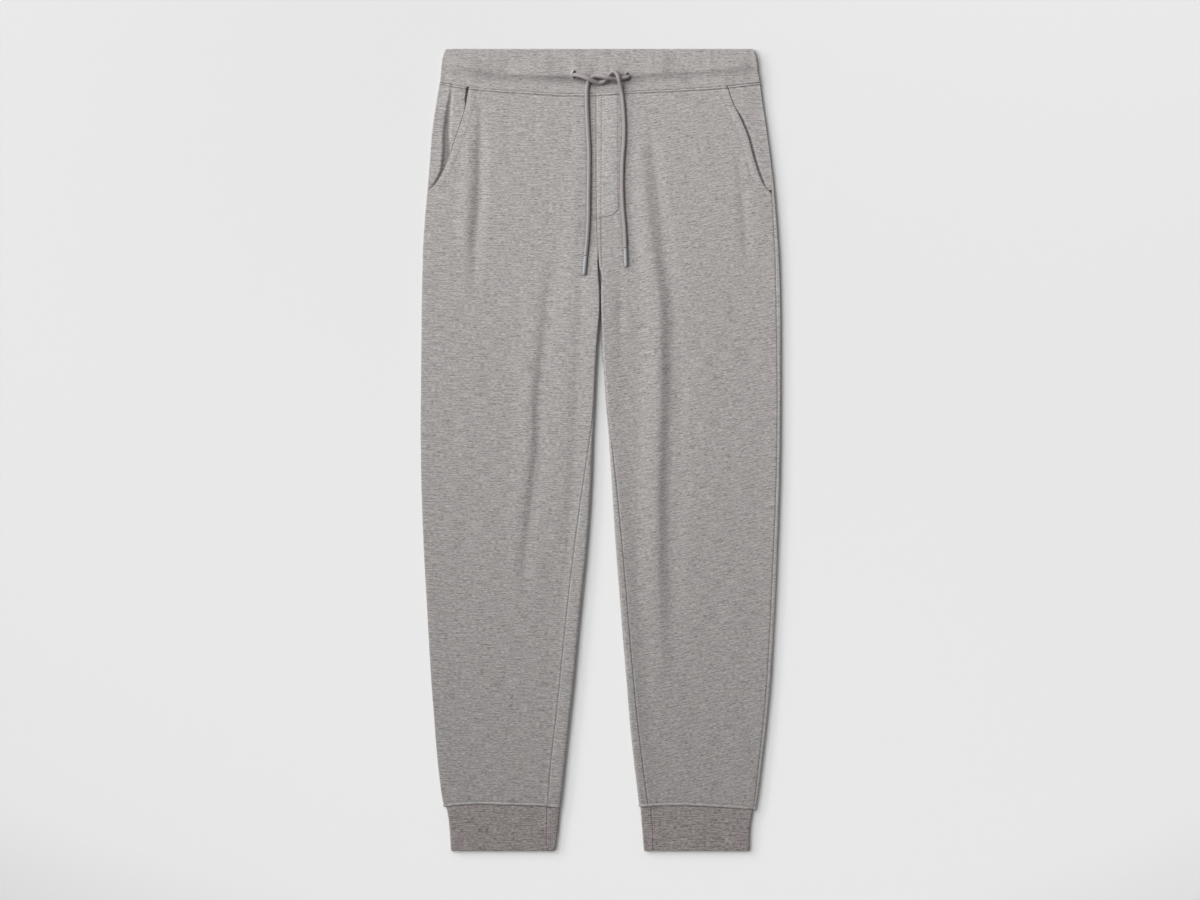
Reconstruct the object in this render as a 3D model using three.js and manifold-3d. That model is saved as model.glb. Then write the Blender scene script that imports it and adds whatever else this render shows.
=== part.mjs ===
// Jogger sweatpants laid flat: fleece leg panels, a double waistband, ribbed hem cuffs,
// slant pockets and a drawcord tied in a half knot. Millimetres, +Z up, waist toward +Y.
import * as THREE from 'three';
import { mergeVertices } from 'three/addons/utils/BufferGeometryUtils.js';
import Module from 'manifold-3d';

// Cloth and seams
const CLOTH = 2.0;
const SEAM_GAP = 0.3;
const HALF_GAP = SEAM_GAP / 2;
const EDGE_RADIUS = 3.9;
const EDGE_SPREAD = 28;
const LEAST_HEIGHT = 4.35;
const SIDE_SHIFT = -1.3;

// Levels along the garment
const WAIST_LEVEL = 476;
const TOP_LEVEL = 519;
const CROTCH_LEVEL = 243;
const FRONT_TURN_LEVEL = 283;
const BACK_TURN_LEVEL = 262;
const HEM_LEVEL = -461;
const BOTTOM_LEVEL = -519;

// Waistband and cuffs
const BAND_WALL = 3.5;
const BAND_RADIUS = 3.75;
const BAND_DIP = 0.7;
const CUFF_WALL = 2.7;
const CUFF_RADIUS = 3.1;
const RIM_INSET = 1.1;

// Drawcord
const CORD_RADIUS = 2.6;
const CORD_CLEAR = 0.35;
const CORD_SIDES = 8;
const CORD_STEPS = 64;
const TIP_LENGTH = 24;
const TIP_RADIUS = 2.5;
const TIP_STEPS = 5;
const SLIT_WIDTH = 7.4;
const SLIT_LENGTH = 10.5;
const LOW_LIFT = CORD_CLEAR + CORD_RADIUS;
const HIGH_LIFT = LOW_LIFT + 2 * CORD_RADIUS + 2 * SEAM_GAP;

const CLOTH_COLOUR = 0xa6a4a2;
const BAND_COLOUR = 0xa8a3a2;
const CUFF_COLOUR = 0x837c7b;
const CORD_COLOUR = 0xaeaaa9;
const TIP_COLOUR = 0xa3a6ae;

// Outline of both legs: outer edge, inner edge and how far the back panel comes over each edge,
// measured along the cloth. R is the wearer's right, L the wearer's left.
const OUTLINE = [
  { y: 476, outR: -207.2, inR: -4.4, wrapR: 0.9, outL: 207.8, inL: -4.4, wrapL: 0.9, overL: 0 },
  { y: 452, outR: -211.2, inR: -4.4, wrapR: 0.9, outL: 210.8, inL: -4.4, wrapL: 0.9, overL: 0 },
  { y: 414, outR: -216.9, inR: -4.3, wrapR: 0.9, outL: 216.4, inL: -4.3, wrapL: 0.9, overL: 0 },
  { y: 375, outR: -220.0, inR: -4.2, wrapR: 0.9, outL: 221.6, inL: -4.2, wrapL: 0.9, overL: 0 },
  { y: 336, outR: -223.2, inR: -4.0, wrapR: 0.9, outL: 226.1, inL: -4.0, wrapL: 0.9, overL: 2.0 },
  { y: 298, outR: -226.6, inR: -3.6, wrapR: 0.9, outL: 229.3, inL: -3.6, wrapL: 0.9, overL: 5.4 },
  { y: 262, outR: -228.9, inR: -1.9, wrapR: 0.9, outL: 231.8, inL: -1.9, wrapL: 0.9, overL: 5.7 },
  { y: 243, outR: -229.5, inR: -0.8, wrapR: 0.9, outL: 232.7, inL: -0.5, wrapL: 0.9, overL: 5.7 },
  { y: 194, outR: -230.5, inR: -0.4, wrapR: 1.0, outL: 234.1, inL: 1.4, wrapL: 1.0, overL: 5.7 },
  { y: 155, outR: -230.9, inR: -1.9, wrapR: 1.2, outL: 234.5, inL: 3.0, wrapL: 1.2, overL: 5.7 },
  { y: 110, outR: -231.4, inR: -5.0, wrapR: 1.8, outL: 234.5, inL: 4.9, wrapL: 1.8, overL: 5.7 },
  { y: 58, outR: -231.8, inR: -6.9, wrapR: 2.8, outL: 234.4, inL: 8.1, wrapL: 3.4, overL: 5.7 },
  { y: 22, outR: -231.9, inR: -8.7, wrapR: 5.6, outL: 234.2, inL: 11.2, wrapL: 5.2, overL: 5.7 },
  { y: -39, outR: -231.2, inR: -10.4, wrapR: 12.6, outL: 233.2, inL: 15.2, wrapL: 8.3, overL: 5.7 },
  { y: -91, outR: -229.5, inR: -13.4, wrapR: 17.0, outL: 231.6, inL: 18.5, wrapL: 10.1, overL: 5.7 },
  { y: -140, outR: -227.3, inR: -17.5, wrapR: 19.4, outL: 229.7, inL: 21.8, wrapL: 11.3, overL: 5.7 },
  { y: -194, outR: -224.3, inR: -23.0, wrapR: 20.2, outL: 227.3, inL: 26.1, wrapL: 11.6, overL: 5.7 },
  { y: -246, outR: -221.3, inR: -28.0, wrapR: 20.6, outL: 224.6, inL: 30.2, wrapL: 11.8, overL: 5.7 },
  { y: -298, outR: -218.2, inR: -32.8, wrapR: 21.0, outL: 221.6, inL: 34.5, wrapL: 11.9, overL: 5.7 },
  { y: -349, outR: -214.3, inR: -38.3, wrapR: 20.8, outL: 216.9, inL: 38.7, wrapL: 12.7, overL: 5.6 },
  { y: -401, outR: -210.1, inR: -43.8, wrapR: 21.4, outL: 210.9, inL: 43.9, wrapL: 13.7, overL: 5.5 },
  { y: -440, outR: -205.4, inR: -48.0, wrapR: 20.4, outL: 205.6, inL: 48.8, wrapL: 13.9, overL: 5.4 },
  { y: -461, outR: -201.6, inR: -50.8, wrapR: 19.2, outL: 201.8, inL: 51.4, wrapL: 13.9, overL: 5.4 },
];

// Slanted pocket edges, from the waist seam down to the outseam.
const POCKET = [
  { y: 476, right: -168.9, left: 164.6 },
  { y: 452, right: -173.0, left: 173.2 },
  { y: 428, right: -178.6, left: 184.6 },
  { y: 404, right: -186.4, left: 193.8 },
  { y: 380, right: -195.4, left: 201.6 },
  { y: 362, right: -202.8, left: 207.8 },
  { y: 350, right: -209.9, left: 212.6 },
  { y: 342, right: -215.4, left: 217.2 },
  { y: 336, right: -219.6, left: 221.9 },
];
const POCKET_END = 331;
// The hollow that runs down the facing of the right pocket, by its distance from the outer edge.
const POCKET_HOLLOW = [
  { y: 468, inset: 14, depth: 0.5, reach: 4.2 }, { y: 445, inset: 16.5, depth: 1.0, reach: 4.4 },
  { y: 414, inset: 19, depth: 1.6, reach: 4.4 }, { y: 390, inset: 18.5, depth: 2.4, reach: 4.2 },
  { y: 370, inset: 16.5, depth: 3.4, reach: 4.0 }, { y: 355, inset: 13, depth: 4.0, reach: 3.4 },
  { y: 343, inset: 8.5, depth: 3.0, reach: 2.8 }, { y: 336, inset: 6, depth: 1.5, reach: 2.2 },
];

// Line of the waist seam across the front, and of both cuff seams.
const WAIST_SEAM = [
  { x: -215, y: 476 }, { x: -205, y: 475.6 }, { x: -174, y: 470.2 }, { x: -129, y: 465.9 },
  { x: -77, y: 462.6 }, { x: -38, y: 460.8 }, { x: 0, y: 461.6 }, { x: 37, y: 464 },
  { x: 104, y: 467 }, { x: 165, y: 471 }, { x: 205, y: 475.6 }, { x: 215, y: 476 },
];
const CUFF_SEAM = [
  { x: -205, y: -462.6 }, { x: -170, y: -459.4 }, { x: -120, y: -460 }, { x: -80, y: -461 },
  { x: -50, y: -463 }, { x: 50, y: -462.2 }, { x: 100, y: -460.6 }, { x: 150, y: -462.4 },
  { x: 205, y: -466.4 },
];

// Thickness of the lying garment along its middle.
const PILE_HEIGHT = [
  { y: 476, height: 6.9 }, { y: 400, height: 6.8 }, { y: 325, height: 6.7 }, { y: 250, height: 5.9 },
  { y: 150, height: 5.7 }, { y: -150, height: 5.5 }, { y: -380, height: 5.7 }, { y: -461, height: 6.1 },
];

// Folds of the cloth: a row for each point of the crease, with its height and its reach to each side.
const FOLDS = [
  [
    { y: 462, x: -158, rise: 0, near: 6, far: 9 }, { y: 425, x: -152, rise: -1.56, near: 7, far: 9 },
    { y: 370, x: -152, rise: -2.47, near: 8, far: 10 }, { y: 325, x: -158, rise: -1.82, near: 8, far: 11 },
    { y: 280, x: -161, rise: -1.17, near: 8, far: 12 }, { y: 205, x: -162, rise: 0, near: 8, far: 12 },
  ],
  [
    { y: 425, x: -24, rise: 0, near: 12, far: 12 }, { y: 330, x: -34, rise: 1.14, near: 14, far: 13 },
    { y: 210, x: -46, rise: 2.28, near: 16, far: 15 }, { y: 90, x: -50, rise: 2.85, near: 22, far: 22 },
    { y: -20, x: -58, rise: 2.66, near: 22, far: 22 }, { y: -120, x: -66, rise: 1.52, near: 20, far: 22 },
    { y: -210, x: -74, rise: 0, near: 18, far: 20 },
  ],
  [
    { y: 262, x: -59, rise: 0, near: 14, far: 8 }, { y: 175, x: -72, rise: -1.17, near: 14, far: 9 },
    { y: 90, x: -79, rise: -1.69, near: 14, far: 9 }, { y: 10, x: -85, rise: -1.76, near: 14, far: 9 },
    { y: -70, x: -91, rise: -1.43, near: 14, far: 9 }, { y: -140, x: -96, rise: -0.78, near: 16, far: 10 },
    { y: -210, x: -99, rise: 0, near: 16, far: 10 },
  ],
  [
    { y: 425, x: 52, rise: 0, near: 14, far: 10 }, { y: 330, x: 60, rise: 1.52, near: 18, far: 11 },
    { y: 230, x: 66, rise: 2.66, near: 24, far: 12 }, { y: 90, x: 72, rise: 3.23, near: 28, far: 13 },
    { y: -40, x: 70, rise: 3.23, near: 28, far: 13 }, { y: -140, x: 72, rise: 2.47, near: 26, far: 13 },
    { y: -240, x: 76, rise: 1.14, near: 22, far: 13 }, { y: -320, x: 80, rise: 0, near: 20, far: 13 },
  ],
  [
    { y: 425, x: 70, rise: 0, near: 8, far: 12 }, { y: 330, x: 79, rise: -1.17, near: 9, far: 14 },
    { y: 230, x: 86, rise: -1.43, near: 9, far: 18 }, { y: 90, x: 93, rise: -1.76, near: 10, far: 24 },
    { y: -40, x: 90, rise: -1.76, near: 10, far: 26 }, { y: -140, x: 91, rise: -1.43, near: 10, far: 24 },
    { y: -240, x: 94, rise: -0.65, near: 10, far: 20 }, { y: -320, x: 97, rise: 0, near: 10, far: 18 },
  ],
  [
    { y: 405, x: 178, rise: 0, near: 9, far: 9 }, { y: 330, x: 185, rise: -0.9, near: 9, far: 9 },
    { y: 280, x: 189, rise: -0.9, near: 9, far: 9 }, { y: 225, x: 192, rise: 0, near: 9, far: 9 },
  ],
];

// Levels of the panel rows, and how the columns share the width of a front (0 outer, 1 inner).
const ROWS = [
  476, 452, 428, 404, 380, 362, 350, 342, 336, 331, 300, 270, 254, 243, 215, 160, 100, 50, 10,
  -45, -110, -180, -250, -320, -385, -435, -461,
];
const LAST_FACING_ROW = 336;
const FRONT_SHARES = {
  right: [
    0, 0.009, 0.018, 0.027, 0.06, 0.12, 0.2, 0.27, 0.305, 0.34, 0.375, 0.45, 0.54, 0.6,
    0.64, 0.68, 0.73, 0.78, 0.84, 0.9, 0.976, 0.988, 1,
  ],
  left: [
    0, 0.009, 0.018, 0.027, 0.06, 0.11, 0.16, 0.2, 0.25, 0.33, 0.42, 0.5, 0.555, 0.595, 0.635,
    0.675, 0.715, 0.76, 0.82, 0.89, 0.976, 0.988, 1,
  ],
};
const BACK_OUTER_PARTS = 4;
const BACK_FLAT_PARTS = 2;
const BACK_INNER_PARTS = 7;
const QUARTER = (EDGE_RADIUS * Math.PI) / 2;
const TANGENT_REACH = 0.05;
const BACK_FLAT_START = 1.5;
const INNER_TURN_SHARE = 0.62;

const SIDES = {
  right: { out: 'outR', in: 'inR', wrap: 'wrapR', over: null, inward: 1, sign: -1 },
  left: { out: 'outL', in: 'inL', wrap: 'wrapL', over: 'overL', inward: -1, sign: 1 },
};

function smooth(low, high, value) {
  const t = Math.min(1, Math.max(0, (value - low) / (high - low)));
  return t * t * (3 - 2 * t);
}

// Value of a column between the rows of a table, with tangents from the neighbouring rows.
function follow(rows, key, at, column) {
  const rising = rows[rows.length - 1][key] > rows[0][key];
  const last = rows.length - 1;
  const before = (row) => (rising ? row[key] <= at : row[key] >= at);
  if (!before(rows[0])) return rows[0][column];
  if (before(rows[last])) return rows[last][column];
  let i = 0;
  while (before(rows[i + 1])) i += 1;
  const step = rows[i + 1][key] - rows[i][key];
  const t = (at - rows[i][key]) / step;
  const slopeAt = (k) => {
    const low = Math.max(0, k - 1);
    const high = Math.min(last, k + 1);
    return (rows[high][column] - rows[low][column]) / (rows[high][key] - rows[low][key]);
  };
  const a = rows[i][column];
  const b = rows[i + 1][column];
  const startSlope = slopeAt(i) * step;
  const endSlope = slopeAt(i + 1) * step;
  const t2 = t * t;
  const t3 = t2 * t;
  return (2 * t3 - 3 * t2 + 1) * a + (t3 - 2 * t2 + t) * startSlope
    + (3 * t2 - 2 * t3) * b + (t3 - t2) * endSlope;
}

// The same, in straight lines from row to row, for tables that run down the garment.
function straight(rows, key, at, column) {
  let i = 0;
  while (i < rows.length - 2 && rows[i + 1][key] > at) i += 1;
  const t = (at - rows[i][key]) / (rows[i + 1][key] - rows[i][key]);
  return THREE.MathUtils.lerp(rows[i][column], rows[i + 1][column], THREE.MathUtils.clamp(t, 0, 1));
}

// Cuff seam on the underside, straight from the outer to the inner edge of the leg.
function underSeam(x) {
  const hem = OUTLINE[OUTLINE.length - 1];
  const [low, high] = x < 0 ? [hem.outR, hem.inR] : [hem.inL, hem.outL];
  const t = THREE.MathUtils.clamp((x - low) / (high - low), 0, 1);
  return THREE.MathUtils.lerp(follow(CUFF_SEAM, 'x', low, 'y'), follow(CUFF_SEAM, 'x', high, 'y'), t);
}

// Level on the cloth of a panel row, bent at its ends to meet the waist and cuff seams.
function levelAt(row, x, under) {
  const seam = under ? underSeam(x) : follow(CUFF_SEAM, 'x', x, 'y');
  const bottom = smooth(-400, HEM_LEVEL, row) * (seam - HEM_LEVEL);
  const top = under ? 0 : smooth(395, WAIST_LEVEL, row) * (follow(WAIST_SEAM, 'x', x, 'y') - WAIST_LEVEL);
  return row + top + bottom;
}

function foldRise(x, row) {
  let total = 0;
  for (const fold of FOLDS) {
    if (row > fold[0].y || row < fold[fold.length - 1].y) continue;
    const offset = (x - straight(fold, 'y', row, 'x')) * Math.sign(fold[0].x);
    const reach = straight(fold, 'y', row, offset < 0 ? 'near' : 'far');
    const share = Math.abs(offset) / reach;
    if (share < 1) total += straight(fold, 'y', row, 'rise') * (0.5 + 0.5 * Math.cos(Math.PI * share));
  }
  return total;
}

function outlineAt(side, row) {
  const names = SIDES[side];
  const turnFront = (Math.PI / 2) * smooth(FRONT_TURN_LEVEL, CROTCH_LEVEL, row);
  const turnBack = (Math.PI / 2) * smooth(BACK_TURN_LEVEL, CROTCH_LEVEL, row);
  const inner = follow(OUTLINE, 'y', row, names.in) - names.inward * HALF_GAP * Math.sin(turnFront);
  const outer = follow(OUTLINE, 'y', row, names.out);
  return {
    side,
    row,
    outer,
    inner,
    inward: names.inward,
    width: Math.abs(inner - outer),
    turnFront,
    turnBack,
    wrap: follow(OUTLINE, 'y', row, names.wrap) * smooth(CROTCH_LEVEL + 12, CROTCH_LEVEL, row),
    over: names.over ? Math.max(0, follow(OUTLINE, 'y', row, names.over)) : 0,
  };
}

// Height of the upper surface of the lying cloth between its rolled edges.
function heightAt(section, fromOuter) {
  const fromInner = section.width - fromOuter;
  const pile = follow(PILE_HEIGHT, 'y', section.row, 'height');
  const legEdge = smooth(FRONT_TURN_LEVEL + 17, BACK_TURN_LEVEL, section.row);
  const nearOuter = 1 - smooth(EDGE_RADIUS, EDGE_SPREAD, fromOuter);
  const nearInner = legEdge * (1 - smooth(EDGE_RADIUS, EDGE_SPREAD, fromInner));
  const edge = Math.max(nearOuter, nearInner);
  const x = section.outer + section.inward * fromOuter;
  const free = pile + foldRise(x, section.row) * (1 - edge);
  return Math.max(LEAST_HEIGHT, free + (2 * EDGE_RADIUS - pile) * edge);
}

// Point of the upper surface at a length along the cloth from the outer edge.
function upperPoint(section, length) {
  if (length < QUARTER) {
    const angle = length / EDGE_RADIUS;
    return { in: EDGE_RADIUS * (1 - Math.cos(angle)), z: EDGE_RADIUS * (1 + Math.sin(angle)) };
  }
  const flat = section.width - EDGE_RADIUS * (1 + Math.sin(section.turnFront));
  if (length <= QUARTER + flat) {
    const fromOuter = EDGE_RADIUS + length - QUARTER;
    return { in: fromOuter, z: heightAt(section, fromOuter) };
  }
  const angle = (length - QUARTER - flat) / EDGE_RADIUS;
  const start = EDGE_RADIUS + flat;
  return {
    in: start + EDGE_RADIUS * Math.sin(angle),
    z: heightAt(section, start) - EDGE_RADIUS * (1 - Math.cos(angle)),
  };
}

function upperLength(section) {
  const flat = section.width - EDGE_RADIUS * (1 + Math.sin(section.turnFront));
  return QUARTER + flat + EDGE_RADIUS * section.turnFront;
}

// Point of the back panel at a length along it from the outer edge, going under the garment
// and then up round the inner edge of the leg.
function lowerPoint(section, length) {
  if (length < 0) return upperPoint(section, -length);
  if (length < QUARTER) {
    const angle = length / EDGE_RADIUS;
    return { in: EDGE_RADIUS * (1 - Math.cos(angle)), z: EDGE_RADIUS * (1 - Math.sin(angle)) };
  }
  const flat = section.width - EDGE_RADIUS * (1 + Math.sin(section.turnBack));
  if (length <= QUARTER + flat) return { in: EDGE_RADIUS + length - QUARTER, z: 0 };
  const angle = (length - QUARTER - flat) / EDGE_RADIUS;
  if (angle <= section.turnBack) {
    return {
      in: EDGE_RADIUS + flat + EDGE_RADIUS * Math.sin(angle),
      z: EDGE_RADIUS * (1 - Math.cos(angle)),
    };
  }
  return upperPoint(section, upperLength(section) - (angle - section.turnBack) * EDGE_RADIUS);
}

function lowerLength(section) {
  const flat = section.width - EDGE_RADIUS * (1 + Math.sin(section.turnBack));
  return QUARTER + flat + EDGE_RADIUS * section.turnBack;
}

// A point on the cloth and the one a wall thickness inside it.
function wallPair(section, pointAt, length, sunk, flip) {
  const p = pointAt(section, length);
  const a = pointAt(section, length - TANGENT_REACH);
  const b = pointAt(section, length + TANGENT_REACH);
  const tangent = new THREE.Vector2(b.in - a.in, b.z - a.z).normalize();
  const inX = flip * tangent.y;
  const inZ = -flip * tangent.x;
  const under = flip < 0 && p.z < EDGE_RADIUS;
  const point = (depth) => {
    const x = section.outer + section.inward * (p.in + inX * depth);
    return new THREE.Vector3(x, levelAt(section.row, x, under), p.z + inZ * depth);
  };
  return { outer: point(sunk), inner: point(sunk + CLOTH) };
}

// Closed solid from a grid of outer points and the matching inner points.
function wallGeometry(outer, inner, ring) {
  const rows = outer.length;
  const columns = outer[0].length;
  const positions = [];
  for (const grid of [outer, inner]) {
    for (const line of grid) {
      for (const p of line) positions.push(p.x + SIDE_SHIFT, p.y, p.z);
    }
  }
  const half = rows * columns;
  const index = [];
  const at = (i, j) => i * columns + (j % columns);
  const quad = (a, b, c, d) => index.push(a, b, c, a, c, d);
  const spans = ring ? columns : columns - 1;
  for (let i = 0; i < rows - 1; i += 1) {
    for (let j = 0; j < spans; j += 1) {
      quad(at(i, j), at(i + 1, j), at(i + 1, j + 1), at(i, j + 1));
      quad(half + at(i, j), half + at(i, j + 1), half + at(i + 1, j + 1), half + at(i + 1, j));
    }
  }
  for (let j = 0; j < spans; j += 1) {
    const end = rows - 1;
    quad(at(0, j), at(0, j + 1), half + at(0, j + 1), half + at(0, j));
    quad(at(end, j + 1), at(end, j), half + at(end, j), half + at(end, j + 1));
  }
  if (!ring) {
    const end = columns - 1;
    for (let i = 0; i < rows - 1; i += 1) {
      quad(at(i + 1, 0), at(i, 0), half + at(i, 0), half + at(i + 1, 0));
      quad(at(i, end), at(i + 1, end), half + at(i + 1, end), half + at(i, end));
    }
  }
  const geometry = new THREE.BufferGeometry();
  geometry.setAttribute('position', new THREE.Float32BufferAttribute(positions, 3));
  geometry.setIndex(index);
  if (signedVolume(geometry) < 0) {
    for (let k = 0; k < index.length; k += 3) {
      const swap = index[k + 1];
      index[k + 1] = index[k + 2];
      index[k + 2] = swap;
    }
    geometry.setIndex(index);
  }
  geometry.computeVertexNormals();
  return geometry;
}

function signedVolume(geometry) {
  const p = geometry.getAttribute('position');
  const index = geometry.getIndex();
  const corner = [new THREE.Vector3(), new THREE.Vector3(), new THREE.Vector3()];
  let six = 0;
  for (let k = 0; k < index.count; k += 3) {
    corner.forEach((v, n) => v.fromBufferAttribute(p, index.getX(k + n)));
    six += corner[0].dot(corner[1].clone().cross(corner[2]));
  }
  return six / 6;
}

// Length along the cloth from the outer edge to the front panel's outer border.
function frontStart(section) {
  if (section.row <= POCKET_END) return section.over + HALF_GAP;
  const edge = follow(POCKET, 'y', section.row, section.side);
  const fromOuter = Math.abs(edge - section.outer);
  if (fromOuter >= EDGE_RADIUS) return QUARTER + fromOuter - EDGE_RADIUS;
  return EDGE_RADIUS * Math.acos(1 - fromOuter / EDGE_RADIUS);
}

function frontGeometry(side) {
  const outer = [];
  const inner = [];
  ROWS.forEach((row, i) => {
    const level = i === 0 ? row - HALF_GAP : i === ROWS.length - 1 ? row + HALF_GAP : row;
    const section = outlineAt(side, level);
    const start = frontStart(section);
    const end = upperLength(section) - section.wrap - HALF_GAP;
    const pairs = FRONT_SHARES[side].map((share) => (
      wallPair(section, upperPoint, start + (end - start) * share, 0, 1)
    ));
    outer.push(pairs.map((pair) => pair.outer));
    inner.push(pairs.map((pair) => pair.inner));
  });
  return wallGeometry(outer, inner, false);
}

function backGeometry(side) {
  const outer = [];
  const inner = [];
  ROWS.forEach((row, i) => {
    const level = i === 0 ? row - HALF_GAP : i === ROWS.length - 1 ? row + HALF_GAP : row;
    const section = outlineAt(side, level);
    const begin = -section.over + HALF_GAP;
    const end = lowerLength(section) + section.wrap - HALF_GAP;
    const flatStart = QUARTER + BACK_FLAT_START;
    const flatEnd = end - section.wrap - QUARTER;
    const lengths = [];
    for (let k = 0; k < BACK_OUTER_PARTS; k += 1) {
      lengths.push(begin + ((flatStart - begin) * k) / BACK_OUTER_PARTS);
    }
    for (let k = 0; k < BACK_FLAT_PARTS; k += 1) {
      lengths.push(flatStart + ((flatEnd - flatStart) * k) / BACK_FLAT_PARTS);
    }
    for (let k = 0; k <= BACK_INNER_PARTS; k += 1) {
      const t = k / BACK_INNER_PARTS;
      const along = INNER_TURN_SHARE * t + (1 - INNER_TURN_SHARE) * t * t;
      lengths.push(flatEnd + (end - flatEnd) * along);
    }
    const pairs = lengths.map((length) => wallPair(section, lowerPoint, length, 0, -1));
    outer.push(pairs.map((pair) => pair.outer));
    inner.push(pairs.map((pair) => pair.inner));
  });
  return wallGeometry(outer, inner, false);
}

// How deep the facing lies below the level of the cloth around the pocket.
const FACING_OPEN_PARTS = 8;
const FACING_UNDER_SHARES = [0, 0.027, 0.06];
const FACING_CLEAR = 0.4;
const FACING_FLUSH = 0.4;
const FACING_STEP_REACH = 3.6;
const FULL_UNDERLAP_ROW = 350;
const LAST_UNDERLAP_ROW = 342;

function facingDepth(section, length, start) {
  const under = CLOTH + SEAM_GAP;
  const outside = start - FACING_CLEAR - length;
  if (outside <= 0) return under;
  const fade = smooth(LAST_UNDERLAP_ROW - 8, LAST_UNDERLAP_ROW, section.row);
  const settle = smooth(QUARTER - 3.2, QUARTER + 3.4, length);
  let depth = THREE.MathUtils.lerp(under, FACING_FLUSH, smooth(0.2, FACING_STEP_REACH, outside));
  if (section.side === 'right') {
    const middle = QUARTER + follow(POCKET_HOLLOW, 'y', section.row, 'inset') - EDGE_RADIUS;
    const share = (length - middle) / follow(POCKET_HOLLOW, 'y', section.row, 'reach');
    depth += follow(POCKET_HOLLOW, 'y', section.row, 'depth') * Math.exp(-share * share);
  }
  const room = upperPoint(section, length).z - LEAST_HEIGHT;
  const wanted = fade * depth * settle;
  return length < QUARTER ? wanted : Math.min(wanted, room);
}

function facingGeometry(side) {
  const outer = [];
  const inner = [];
  for (const row of ROWS.filter((value) => value >= LAST_FACING_ROW)) {
    const level = row === WAIST_LEVEL ? row - HALF_GAP : row;
    const section = outlineAt(side, level);
    const start = frontStart(section);
    const end = upperLength(section) - section.wrap - HALF_GAP;
    const begin = section.over + HALF_GAP;
    const open = start - (row < FULL_UNDERLAP_ROW ? 3 : 1) * FACING_CLEAR;
    const lengths = [];
    for (let k = 0; k < FACING_OPEN_PARTS; k += 1) {
      lengths.push(begin + ((open - begin) * k) / FACING_OPEN_PARTS);
    }
    lengths.push(open);
    FACING_UNDER_SHARES.forEach((share, k) => {
      const under = start + (end - start) * share;
      lengths.push(row < FULL_UNDERLAP_ROW ? open + 0.1 * (k + 1) : under);
    });
    const pairs = lengths.map((length) => (
      wallPair(section, upperPoint, length, facingDepth(section, length, start), 1)
    ));
    outer.push(pairs.map((pair) => pair.outer));
    inner.push(pairs.map((pair) => pair.inner));
  }
  return wallGeometry(outer, inner, false);
}

// Flattened ring with rolled ends: waistband and cuffs.
function ringGeometry(ring) {
  const outer = [];
  const inner = [];
  ring.shares.forEach((share) => {
    const loopOuter = [];
    const loopInner = [];
    const left = follow(ring.edges, 'share', share, 'low');
    const right = follow(ring.edges, 'share', share, 'high');
    const inset = ring.rims.includes(share) ? RIM_INSET : 0;
    const put = (x, z, normalX, normalZ, front) => {
      const dip = front ? ring.dip * follow(ring.edges, 'share', share, 'dip') : 0;
      const bottom = front ? ring.seam(x) : ring.backSeam(x);
      const far = ring.far;
      const y = THREE.MathUtils.lerp(bottom, far, share);
      const reach = ring.wall - inset * 0.6;
      loopOuter.push(new THREE.Vector3(x - normalX * inset, y, z - normalZ * (inset + dip)));
      loopInner.push(new THREE.Vector3(x - normalX * reach, y, z - normalZ * reach));
    };
    const r = ring.radius;
    for (let k = 0; k < ring.frontParts; k += 1) {
      put(THREE.MathUtils.lerp(left + r, right - r, k / ring.frontParts), 2 * r, 0, 1, true);
    }
    for (let k = 0; k < ring.endParts; k += 1) {
      const a = (Math.PI * k) / ring.endParts;
      put(right - r + r * Math.sin(a), r + r * Math.cos(a), Math.sin(a), Math.cos(a), a < 1.5);
    }
    for (let k = 0; k < ring.backParts; k += 1) {
      put(THREE.MathUtils.lerp(right - r, left + r, k / ring.backParts), 0, 0, -1, false);
    }
    for (let k = 0; k < ring.endParts; k += 1) {
      const a = (Math.PI * k) / ring.endParts;
      put(left + r - r * Math.sin(a), r - r * Math.cos(a), -Math.sin(a), -Math.cos(a), a > 1.6);
    }
    outer.push(loopOuter);
    inner.push(loopInner);
  });
  return wallGeometry(outer, inner, true);
}

const BAND_EDGES = [
  { share: 0, low: -207.0, high: 207.6, dip: 0 },
  { share: 0.1, low: -206.6, high: 207.2, dip: 0.1 },
  { share: 0.3, low: -205.6, high: 205.4, dip: 1 },
  { share: 0.5, low: -204.9, high: 204.6, dip: 0.2 },
  { share: 0.75, low: -203.4, high: 203.0, dip: 0 },
  { share: 0.95, low: -200.6, high: 200.2, dip: 0 },
  { share: 1, low: -199.0, high: 198.5, dip: 0 },
];
const CUFF_EDGES = {
  right: [
    { share: 0, low: -198.4, high: -51.2, dip: 0 },
    { share: 0.35, low: -195.2, high: -52.9, dip: 0 },
    { share: 0.7, low: -193.6, high: -55.2, dip: 0 },
    { share: 0.97, low: -192.7, high: -57.6, dip: 0 },
    { share: 1, low: -192.6, high: -57.9, dip: 0 },
  ],
  left: [
    { share: 0, low: 52.6, high: 198.6, dip: 0 },
    { share: 0.35, low: 54.3, high: 195.4, dip: 0 },
    { share: 0.7, low: 55.9, high: 194.2, dip: 0 },
    { share: 0.97, low: 57.1, high: 193.9, dip: 0 },
    { share: 1, low: 57.2, high: 193.8, dip: 0 },
  ],
};

function bandGeometry() {
  return ringGeometry({
    shares: BAND_EDGES.map((edge) => edge.share),
    edges: BAND_EDGES,
    rims: [1],
    dip: BAND_DIP,
    wall: BAND_WALL,
    radius: BAND_RADIUS,
    frontParts: 18,
    endParts: 6,
    backParts: 6,
    far: TOP_LEVEL,
    seam: (x) => follow(WAIST_SEAM, 'x', x, 'y') + HALF_GAP,
    backSeam: () => WAIST_LEVEL + HALF_GAP,
  });
}

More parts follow.
